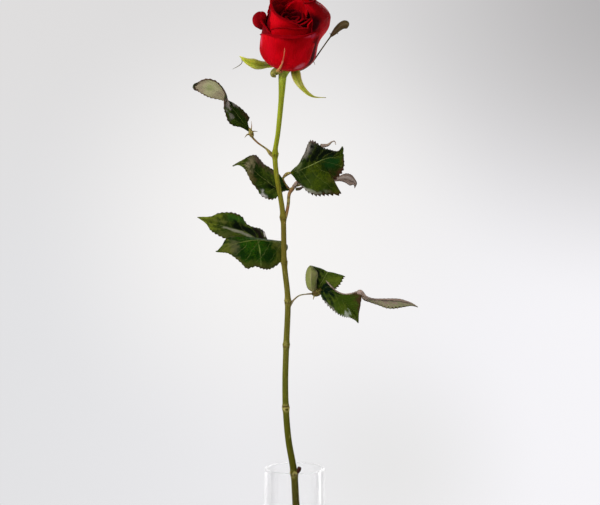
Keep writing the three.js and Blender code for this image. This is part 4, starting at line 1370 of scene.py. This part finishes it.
# What a petal does unless its row says otherwise. "foot" is the share of its spread at the
# root, and "dip" is how far its two corners hang below the middle of the rim. "roll" is the
# lip's radius, where it is thickest and how wide that place is.
USUAL_PETAL = dict(
    close=0, close_from=0.5, flare=0, shoulder=(0.6, 1), one_side=0, lean=0.5, foot=0.5,
    widen=0, dip=(0.15, 0.15), skew=0, roll=(0.6, 0, 1), turn=150, frill=0.6,
)


def in_bloom(azimuth, radius, height):
    """A place round the bloom's axis. Azimuth 0 is to the right and -90 is the front."""
    turn = math.radians(azimuth)
    place = Vector((radius * math.cos(turn), radius * math.sin(turn), height))
    place.rotate(BLOOM_TURN)
    return place + BLOOM_BASE


def clamp01(value):
    return min(1.0, max(0.0, value))


def quarter(value):
    """A sine from 0 to 1 while the value goes from 0 to 1."""
    return math.sin(math.pi / 2 * value)


def petal_place(across, level, azimuth, spread, radius, height, **more):
    """Where a petal's point lies: across from -1 to 1, level from the root 0 to the rim 1."""
    shape = {**USUAL_PETAL, **more}
    body = min(1, level / PETAL["body"])
    rolled = clamp01((level - PETAL["body"]) / (1 - PETAL["body"]))
    bowl = math.sqrt(1 - (1 - min(1, height * body / BLOOM["cup"])) ** 2)
    closing = clamp01((body - shape["close_from"]) / (1 - shape["close_from"]))
    drawn = 1 - shape["close"] * closing**1.5
    low, high = shape["shoulder"]
    turned_out = shape["flare"] * quarter(clamp01((body - low) / (high - low))) ** 2
    turned_out *= 1 - shape["one_side"] * max(0, -across) ** 0.6
    out = mix(BLOOM["root"], radius, bowl) * drawn + turned_out + shape["lean"] * across * bowl
    seed = Vector((azimuth * 0.13, radius * 0.7, 1.3))
    soft = noise.noise(seed + Vector((across * 1.1, level * 1.6, 0)))
    fine = noise.noise(seed + Vector((across * 3.4, level * 2.0, 5)))
    out += shape["frill"] * (soft * bowl + fine * 0.5 * body**4)
    dip = shape["dip"][int(across > 0)]
    lift = 1 + (shape["skew"] * across - dip * abs(across) ** 2.5) * body**2
    lift += noise.noise(seed + Vector((across * 2.2, 9, 0))) * 0.022 * body**4
    roll, centre, width = shape["roll"]
    rho = roll * hill(across - centre, width) + PETAL["thinnest_lip"]
    bend = math.radians(shape["turn"]) * rolled
    up = 1 + height * body * lift - 0.3 * turned_out + rho * math.sin(bend)
    out += rho * (1 - math.cos(bend))
    wide = spread * mix(shape["foot"], 1, quarter(min(1, body / 0.5)))
    wide *= 1 + shape["widen"] * body
    return in_bloom(azimuth + across * wide, out, up)


def petal(name, finishes, levels_from=0.0, **shape):
    """A petal from its shape. Its rows are closer together near the rim."""

    def place_of(x, share):
        return petal_place(x, mix(levels_from, 1, 1 - (1 - share) ** 1.25), **shape)

    grid = PETAL["columns"], PETAL["rows"]
    return sheet(name, finishes, "petal", *grid, place_of, PETAL["thickness"])


# %% [markdown]
# ## The petals' finish
# Velvet red. The outside of a petal is silky: it goes pinkish where it turns away, because
# tiny cells on its skin scatter light at grazing angles, which is what Sheen is for. Fine
# veins fan from the root, and the lip is darker than the body. The shade inside the bloom is
# painted: the inner faces and the heart are darker copies of the red, as painted shade, with
# a lit copy as painted light for the inner faces that the lamp reaches and bright rims as
# painted light on the heart's petals. Touches paint pink highlights, light and shade on the
# outer petals.

# %% Petal finishes
# Each has a deep red, a bright red, the rim's colour and the root's. The first is the petals'
# own red; the others are copies of it with painted light and shade: a shaded copy, the inner
# faces' darker copy as painted shade, a lit copy as painted light, and the heart's near-black
# copy as painted shade, whose bright rim colour is painted light on its edges.
PETAL_RED = (
    (0.30, 0.0003, 0.0022), (0.47, 0.0007, 0.0055), (0.25, 0.0002, 0.002), (0.42, 0.02, 0.02),
)
SHADED_RED = (
    (0.085, 0.0, 0.0015), (0.17, 0.0002, 0.003), (0.20, 0.0, 0.002), (0.2, 0.01, 0.01),
)
INNER_SHADED_RED = ((0.13, 0.0, 0.0015), (0.26, 0.0003, 0.003), (0.20, 0.0, 0.002), (0.05, 0.0, 0.001))
LIT_RED = ((0.22, 0.0, 0.002), (0.42, 0.0004, 0.004), (0.28, 0.0, 0.002), (0.05, 0.0, 0.001))
HEART_SHADED_RED = (
    (0.030, 0.0, 0.0015), (0.085, 0.0002, 0.0025), (0.32, 0.0005, 0.004), (0.01, 0.0, 0.001),
)


def petal_skin(name, touches="", colours=PETAL_RED, sheen=0.02, gloss=0.50):
    """The silky skin of a petal, with a table of touches laid over it."""
    deep, bright, rim, root = colours
    finish = Finish(
        name,
        Specular_IOR_Level=0.01,
        Subsurface_Weight=0.10,
        Subsurface_Scale=0.003,
        Subsurface_Radius=(1.0, 0.08, 0.05),
        Sheen_Weight=sheen,
        Sheen_Roughness=0.3,
        Sheen_Tint=(1.0, 0.6, 0.7, 1),
    )
    u, v = finish.uv()
    share = abs(u * 2 - 1)
    clouds = finish.speckle(finish.spot(), 85.0, 3.0)
    fan = finish.vector((u - 0.5) * (2.2 - v * 0.8), v * 0.12)
    veins = finish.speckle(fan, 26.0, 3.0)
    hairline = finish.speckle(fan, 80.0, 2.0)
    tint = finish.mixed(finish.step(clouds, 0.34, 0.68), deep, bright)
    tint = finish.mixed(finish.step(veins, 0.42, 0.66, 0.0, 0.45), tint, deep)
    tint = finish.mixed(finish.step(hairline, 0.5, 0.7, 0.0, 0.2), tint, rim)
    edge = finish.step(v, 0.72, 0.86) + finish.step(share, 0.93, 1.0) * 0.6
    tint = finish.mixed(edge * 0.5, tint, rim)
    tint = touched(finish, tint, (u, v, (clouds - 0.5) * 1.2), touches)
    finish.colour(finish.mixed(finish.step(v, 0.0, 0.16, 0.75, 0.0), tint, root))
    finish.roughness(finish.step(veins, 0.3, 0.7, gloss, gloss + 0.14))
    finish.bump(veins * 0.7 + hairline * 0.5 + clouds * 0.6, 0.0003)
    return finish


petal_out = petal_skin("petal_outside")
# The front petal's touches are painted light and shade: a painted pink sheen low on its right
# margin, a painted pink highlight by its left edge, painted light left of the middle, painted shade
# right of it, and a painted pink highlight near the rim on the right.
petal_front = petal_skin("petal_front", """
    silver_pink  0.9 0.2  0.09 0.08  0.6
    0.46 0.06 0.12  0.11 0.58  0.06 0.2  0.6
    0.44 0.001 0.008  0.33 0.45  0.13 0.3  0.5
    0.24 0.0002 0.002  0.66 0.62  0.22 0.18  0.6
    0.46 0.045 0.09  0.88 0.75  0.1 0.05  0.75
""")
# The right petal's touches are painted light and shade: painted shadow in the gap beside the front
# petal, a painted pink highlight streak, painted shade over its upper part, deep painted shade
# beside the front petal's rim, and a painted pink highlight where it folds.
petal_right = petal_skin("petal_right", """
    0.04 0 0.001  0.17 0.22  0.12 0.3  1
    0.36 0.1 0.13  0.36 0.2  0.02 0.09  0.7
    0.13 0 0.001  0.4 0.75  0.4 0.34  0.85
    0.022 0 0.001  0.05 0.57  0.17 0.17  1
    0.36 0.03 0.06  0.05 0.44  0.085 0.04  0.8
""")
# Its touches are painted shade, on its left side and near the rim on its right.
petal_second = petal_skin("petal_second", """
    0.07 0 0.001  0.08 0.6  0.15 0.8  0.95
    0.14 0 0.001  0.9 0.7  0.3 0.4  0.6
""")
petal_shaded = petal_skin("petal_shaded", "", SHADED_RED, sheen=0.03, gloss=0.45)
petal_in = petal_skin("petal_inside", "", INNER_SHADED_RED, sheen=0.03)
petal_lit = petal_skin("petal_inside_lit", "", LIT_RED, sheen=0.03)
shaded_heart_skin = petal_skin("petal_heart_shaded", "", HEART_SHADED_RED, sheen=0.01)
print("petal finishes ready")

# %% Outer petals
# The first one is the wide petal in front. Its lip is thickest right of its middle, and the
# whole rim climbs to the right. The second stands behind its left end, and the third is the
# right one, the highest, which leans out.
GUARDS = [
    dict(azimuth=-105, spread=57, widen=0.36, radius=21.7, height=31.6, skew=0.15,
         dip=(0.16, -0.02), roll=(1.7, 0.2, 0.5), turn=165, lean=0.9),
    dict(azimuth=185, spread=46, radius=20.2, height=33.5, dip=(0.05, 0.15),
         roll=(0.8, -0.2, 0.7), turn=170, lean=-0.4),
    dict(azimuth=2, spread=50, foot=1.35, radius=21.7, height=56, flare=6.3,
         shoulder=(0.34, 0.72), one_side=0.9, close=0.60, close_from=0.82, dip=(0.02, 0.06),
         roll=(0.7, -0.1, 0.8), turn=140, lean=-0.4),
    dict(azimuth=116, spread=56, radius=20.2, height=45, close=0.16, flare=0.5),
    dict(azimuth=54, spread=50, radius=20.6, height=48.5, close=0.10, flare=1.4),
]
SECOND = [
    dict(azimuth=-75, spread=62, foot=0.95, radius=19.2, height=38.6, dip=(0.16, 0.10),
         roll=(0.5, 0, 0.8), turn=160, lean=0.3),
    dict(azimuth=-120, spread=62, radius=17.4, height=44.6, skew=-0.06, dip=(-0.25, 0.10),
         roll=(1.0, 0, 0.9), turn=160, lean=0.3),
    dict(azimuth=0, spread=50, foot=0.95, radius=18.8, height=47.5, close=0.04, flare=0.8),
    dict(azimuth=62, spread=50, radius=18.4, height=50.0, close=0.06, flare=0.4),
    dict(azimuth=116, spread=50, radius=18.2, height=50.5, close=0.08, flare=0.3),
    dict(azimuth=164, spread=44, radius=18.0, height=48.5, close=0.17, flare=0.2),
]
# The outside and the inside of each.
GUARD_SKINS = [
    (petal_front, petal_in), (petal_shaded, petal_in), (petal_right, petal_in),
    (petal_out, petal_in), (petal_out, petal_in),
]
SECOND_SKINS = [
    (petal_out, petal_in), (petal_second, petal_in), (petal_out, petal_lit),
    (petal_out, petal_lit), (petal_out, petal_in), (petal_shaded, petal_in),
]
for layer, shapes, skins in (("guard", GUARDS, GUARD_SKINS), ("second", SECOND, SECOND_SKINS)):
    for i, (shape, pair) in enumerate(zip(shapes, skins)):
        petal(f"{layer}_petal_{i + 1}", pair, **shape)

# %% Inner whorls, wound tighter towards the heart
# How many petals, the azimuth of the first, how much higher the back ones are than the
# front ones, the skins, and the shape.
# Both faces of the heart's petals in painted shade.
IN_SHADE = (shaded_heart_skin, shaded_heart_skin)
WHORLS = [
    (4, -112, 43.0, 3.0, (shaded_heart_skin, petal_in),
     dict(spread=60, radius=15.2, close=0.10, flare=0.4, frill=1.0)),
    (1, 58, 49.0, 0.0, (petal_out, petal_lit), dict(spread=64, radius=12.4, close=0.22, frill=0.9)),
    (3, -150, 41.0, 0.5, IN_SHADE, dict(spread=66, radius=11.4, close=0.10, frill=1.5)),
    (3, -80, 40.0, 1.0, IN_SHADE, dict(spread=84, radius=7.8, close=0.10, frill=1.5)),
    (2, 10, 39.0, 0.5, IN_SHADE, dict(spread=118, radius=4.2, close=0.16, frill=1.0)),
]
ROOTED = 0.3  # the inner petals start above the heart's foot
for w, (count, first, middle, rise, pair, shape) in enumerate(WHORLS):
    for i in range(count):
        azimuth = first + 360 / count * i
        height = middle + rise * math.sin(math.radians(azimuth))
        name = f"inner_petal_{w + 1}_{i + 1}"
        petal(name, pair, ROOTED, azimuth=azimuth, height=height, **shape)

# %% The heart that carries the inner whorls
# The radius and the height above the bloom's base.
HEART = [(5, 0.45), (10, 2.5), (13, 6.5), (14.4, 13), (14.4, 20), (12, 25), (7.6, 29)]
HEART_SIDES = 48
heart = drawn_out([(Vector((0, 0, up)), radius) for radius, up in HEART], HEART_SIDES)
heart.rotation_mode = "QUATERNION"
heart.rotation_quaternion = BLOOM_TURN
heart.location = BLOOM_BASE * MM + BLOOM_TURN @ heart.location
finished(heart, "bloom_heart", [shaded_heart_skin], "petal", "bloom")

# %% The round lobe of the left guard petal
# The lobe bends forward over the crest, so it shows the petal's inner face.
blade(
    "guard_petal_lobe", [petal_in, petal_out, petal_out], "petal",
    """
    -26.1 -48 540.9  -23.7 -49 540.4  -21.5 -48.5 541.3
    -28.9 -49.5 542.5  -25.1 -52.5 543.1  -21.3 -51 544.4
    -30.6 -50.5 544.8  -25.8 -54.5 545.5  -21.1 -52 546.9
    -31.1 -50.5 547.8  -26.1 -55 548.2  -20.7 -52.5 549.4
    -30.2 -50 550.6  -25.7 -54 550.8  -21.1 -52 551.5
    -28.1 -49.5 552.6  -25.3 -51.5 552.8  -22.6 -51 553.1
    -25.9 -49.5 553.3  -25.1 -49.8 553.3  -24.4 -49.6 553.3
    """,
    cup=(1.2, 1.2), thickness=0.5, teeth=0, levels=24, rough=0.4,
)

# %% [markdown]
# ## The calyx
# Under the bloom the stem swells into a smooth green cup, and five narrow sepals spring from
# its rim. They are pale inside, keep a fine downy edge, and end in a thread. One lies up the
# front petal as a thin line, one has dried up to a knob, and one runs far out behind with a
# small leafy tip.

# %% Sepal finishes


def sepal_skin(name, light, dark, edge, middle):
    """A sepal's skin: streaked along it, with a downy edge and a line down its middle."""
    finish = Finish(
        name, Specular_IOR_Level=0.05, Subsurface_Weight=0.06, Subsurface_Scale=0.0008
    )
    u, v = finish.uv()
    share = abs(u * 2 - 1)
    grain = finish.speckle(finish.vector(u * 3, v * 0.3), 22.0, 3.0)
    clouds = finish.speckle(finish.spot(), 160.0, 3.0)
    tint = finish.mixed(finish.step(grain, 0.35, 0.68), dark, light)
    tint = finish.mixed(finish.step(clouds, 0.5, 0.68, 0.0, 0.5), tint, edge)
    tint = finish.mixed(finish.step(share, 0.0, 0.45, 0.7, 0.0), tint, middle)
    finish.colour(finish.mixed(finish.step(share, 0.66, 1.0, 0.0, 0.9), tint, edge))
    finish.roughness(finish.step(grain, 0.2, 0.8, 0.45, 0.62))
    finish.bump(grain + finish.step(share, 0.0, 0.12, 1.0, 0.0), 0.0002)
    return finish


sepal_green = sepal_skin(
    "sepal_green",
    (0.58, 0.58, 0.065), (0.26, 0.31, 0.020), (0.60, 0.55, 0.20), (0.24, 0.29, 0.020),
)
sepal_pale = sepal_skin(
    "sepal_pale",
    (0.42, 0.42, 0.045), (0.21, 0.23, 0.020), (0.58, 0.50, 0.22), (0.24, 0.24, 0.030),
)
sepal_dark = sepal_skin(
    "sepal_dark",
    (0.17, 0.120, 0.045), (0.045, 0.032, 0.012), (0.09, 0.06, 0.03), (0.21, 0.16, 0.08),
)
print("sepal finishes ready")

# %% The cup and its sepals
cup_foot, _ = stem_at(TOP)
cup_beads = [
    (*(cup_foot - Vector((0, 0, 0.5))), 3.1),
    (*cup_foot.lerp(BLOOM_BASE, 0.4), 4.0),
    (*cup_foot.lerp(BLOOM_BASE, 0.75), 4.9),
    (*(BLOOM_BASE + BLOOM_AXIS * 1.2), 5.2),
]
cup = stalk("calyx_cup", SKIN["calyx_cup"], "calyx", cup_beads, resolution=10)
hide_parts("calyx")
SEPALS = {
    "sepal_left": (sepal_green, """
    -16.2 -33 512.2  -16.2 -33 513.5  -16.2 -32 515
    -21 -37 511.9  -21 -38.5 514  -21.4 -36 516.3
    -25.1 -41 511  -25.3 -43 513.9  -25.8 -40 517.1
    -29.9 -44 511.2  -29.8 -46 514.7  -30 -43 518.6
    -34.1 -46 513.5  -34.4 -47 516.3  -34.7 -45 518.8
    -37.7 -46 516.5  -37.8 -46.4 518.2  -38.1 -45.5 519.8
    -40.7 -44.5 520.4  -40.9 -44.5 520.5  -40.9 -44.5 520.7
    """),
    "sepal_right": (sepal_pale, """
    3.6 -42 511.5  0.3 -43 511.2  -3.1 -42 510.8
    4.5 -44 507.4  1.1 -46 507.1  -2.3 -44 506.6
    5.1 -46 503.7  2.1 -47.6 503.3  -1 -46 502.8
    6.8 -47 499.2  4.4 -48.6 499.1  1.7 -47 498.9
    9.1 -48 495.8  7.3 -49.2 495.4  5.6 -48 495.1
    12.3 -49 492.7  11.1 -49.4 492.2  9.9 -49 491.7
    16.1 -48 490.7  15.5 -48 490.3  15.1 -48 489.9
    23.5 -46 490  23.5 -46 489.9  23.5 -46 489.7
    """),
    "sepal_back": (sepal_dark, """
    26.8 -20 535.9  27.4 -20 535.6  28.1 -20 535.1
    28.4 -20 538.9  29.6 -20.8 538  31 -20.4 537
    30.5 -20.4 542.2  32.2 -21.6 540.9  34 -21 539.4
    33.7 -20.6 545.5  35.2 -22 543.6  37 -21.4 541.2
    37 -21 547.3  38.1 -22.2 545  39.4 -21.8 541.4
    39.9 -21.4 546.9  40.2 -22 544.8  40.3 -21.8 542.5
    41.2 -21.8 545.1  41.2 -21.9 544.6  41.2 -21.9 544
    """),
}
SEPAL = dict(cup=(0.7, 0.7), thickness=0.6, teeth=0, levels=36, rough=0.3)
for name, (skin, rows) in SEPALS.items():
    blade(name, [skin, skin, skin], "calyx", rows, **SEPAL)

# %% The knob, and the threads at the sepals' tips
stalks("calyx", {
    "sepal_knob": ("dry_skin",
        "-9.8 -41.6 509.6 2.2, -13.2 -42.4 509.6 2.9, -15.4 -43 508.2 2.8, -15.6 -43 506.6 2.2, "
        "-14 -42.6 505 0.4"),
    "sepal_front_foot": ("sepal_thread",
        "-9.6 -42.6 509.6 1.4, -12.7 -50 509.6 1.2, -11.3 -58.5 511.2 0.9, -9.3 -64.6 514.6 0.6"),
    "sepal_front_thread": ("thread_skin",
        "-9.3 -64.6 514.6 0.6, -8.2 -68.4 518.6 0.5, -7.4 -71 522.7 0.45, -7.2 -73 526.5 0.25"),
    "sepal_left_thread": ("twig_skin",
        "-40.7 -44.5 520.5 0.3, -39.6 -44.6 519 0.3, -39.2 -45 515.9 0.28, -41.9 -45 513.3 0.25, "
        "-46.2 -45 511 0.1"),
    "sepal_back_stalk": ("twig_skin",
        "-4 -36 510.4 1.1, 4.1 -30 510.2 0.7, 10.1 -25 513.2 0.6, 14.3 -21.5 517.2 0.55, "
        "19.2 -20.4 524.1 0.5, 23.7 -20 530.5 0.5, 27.6 -20 535.8 0.6"),
    "sepal_back_hair": ("twig_skin",
        "14.1 -21.5 516.7 0.35, 14.8 -21.5 515.6 0.25, 15.3 -21.5 513.9 0.1"),
    "sepal_back_spike_low": ("twig_skin",
        "28.2 -20.2 536.4 0.5, 27.2 -20.2 537.2 0.35, 26.6 -20.2 538.2 0.1"),
    "sepal_back_spike_high": ("twig_skin",
        "31.2 -20.8 538.6 0.5, 32.2 -20.8 537.8 0.35, 33 -20.8 537.2 0.1"),
})
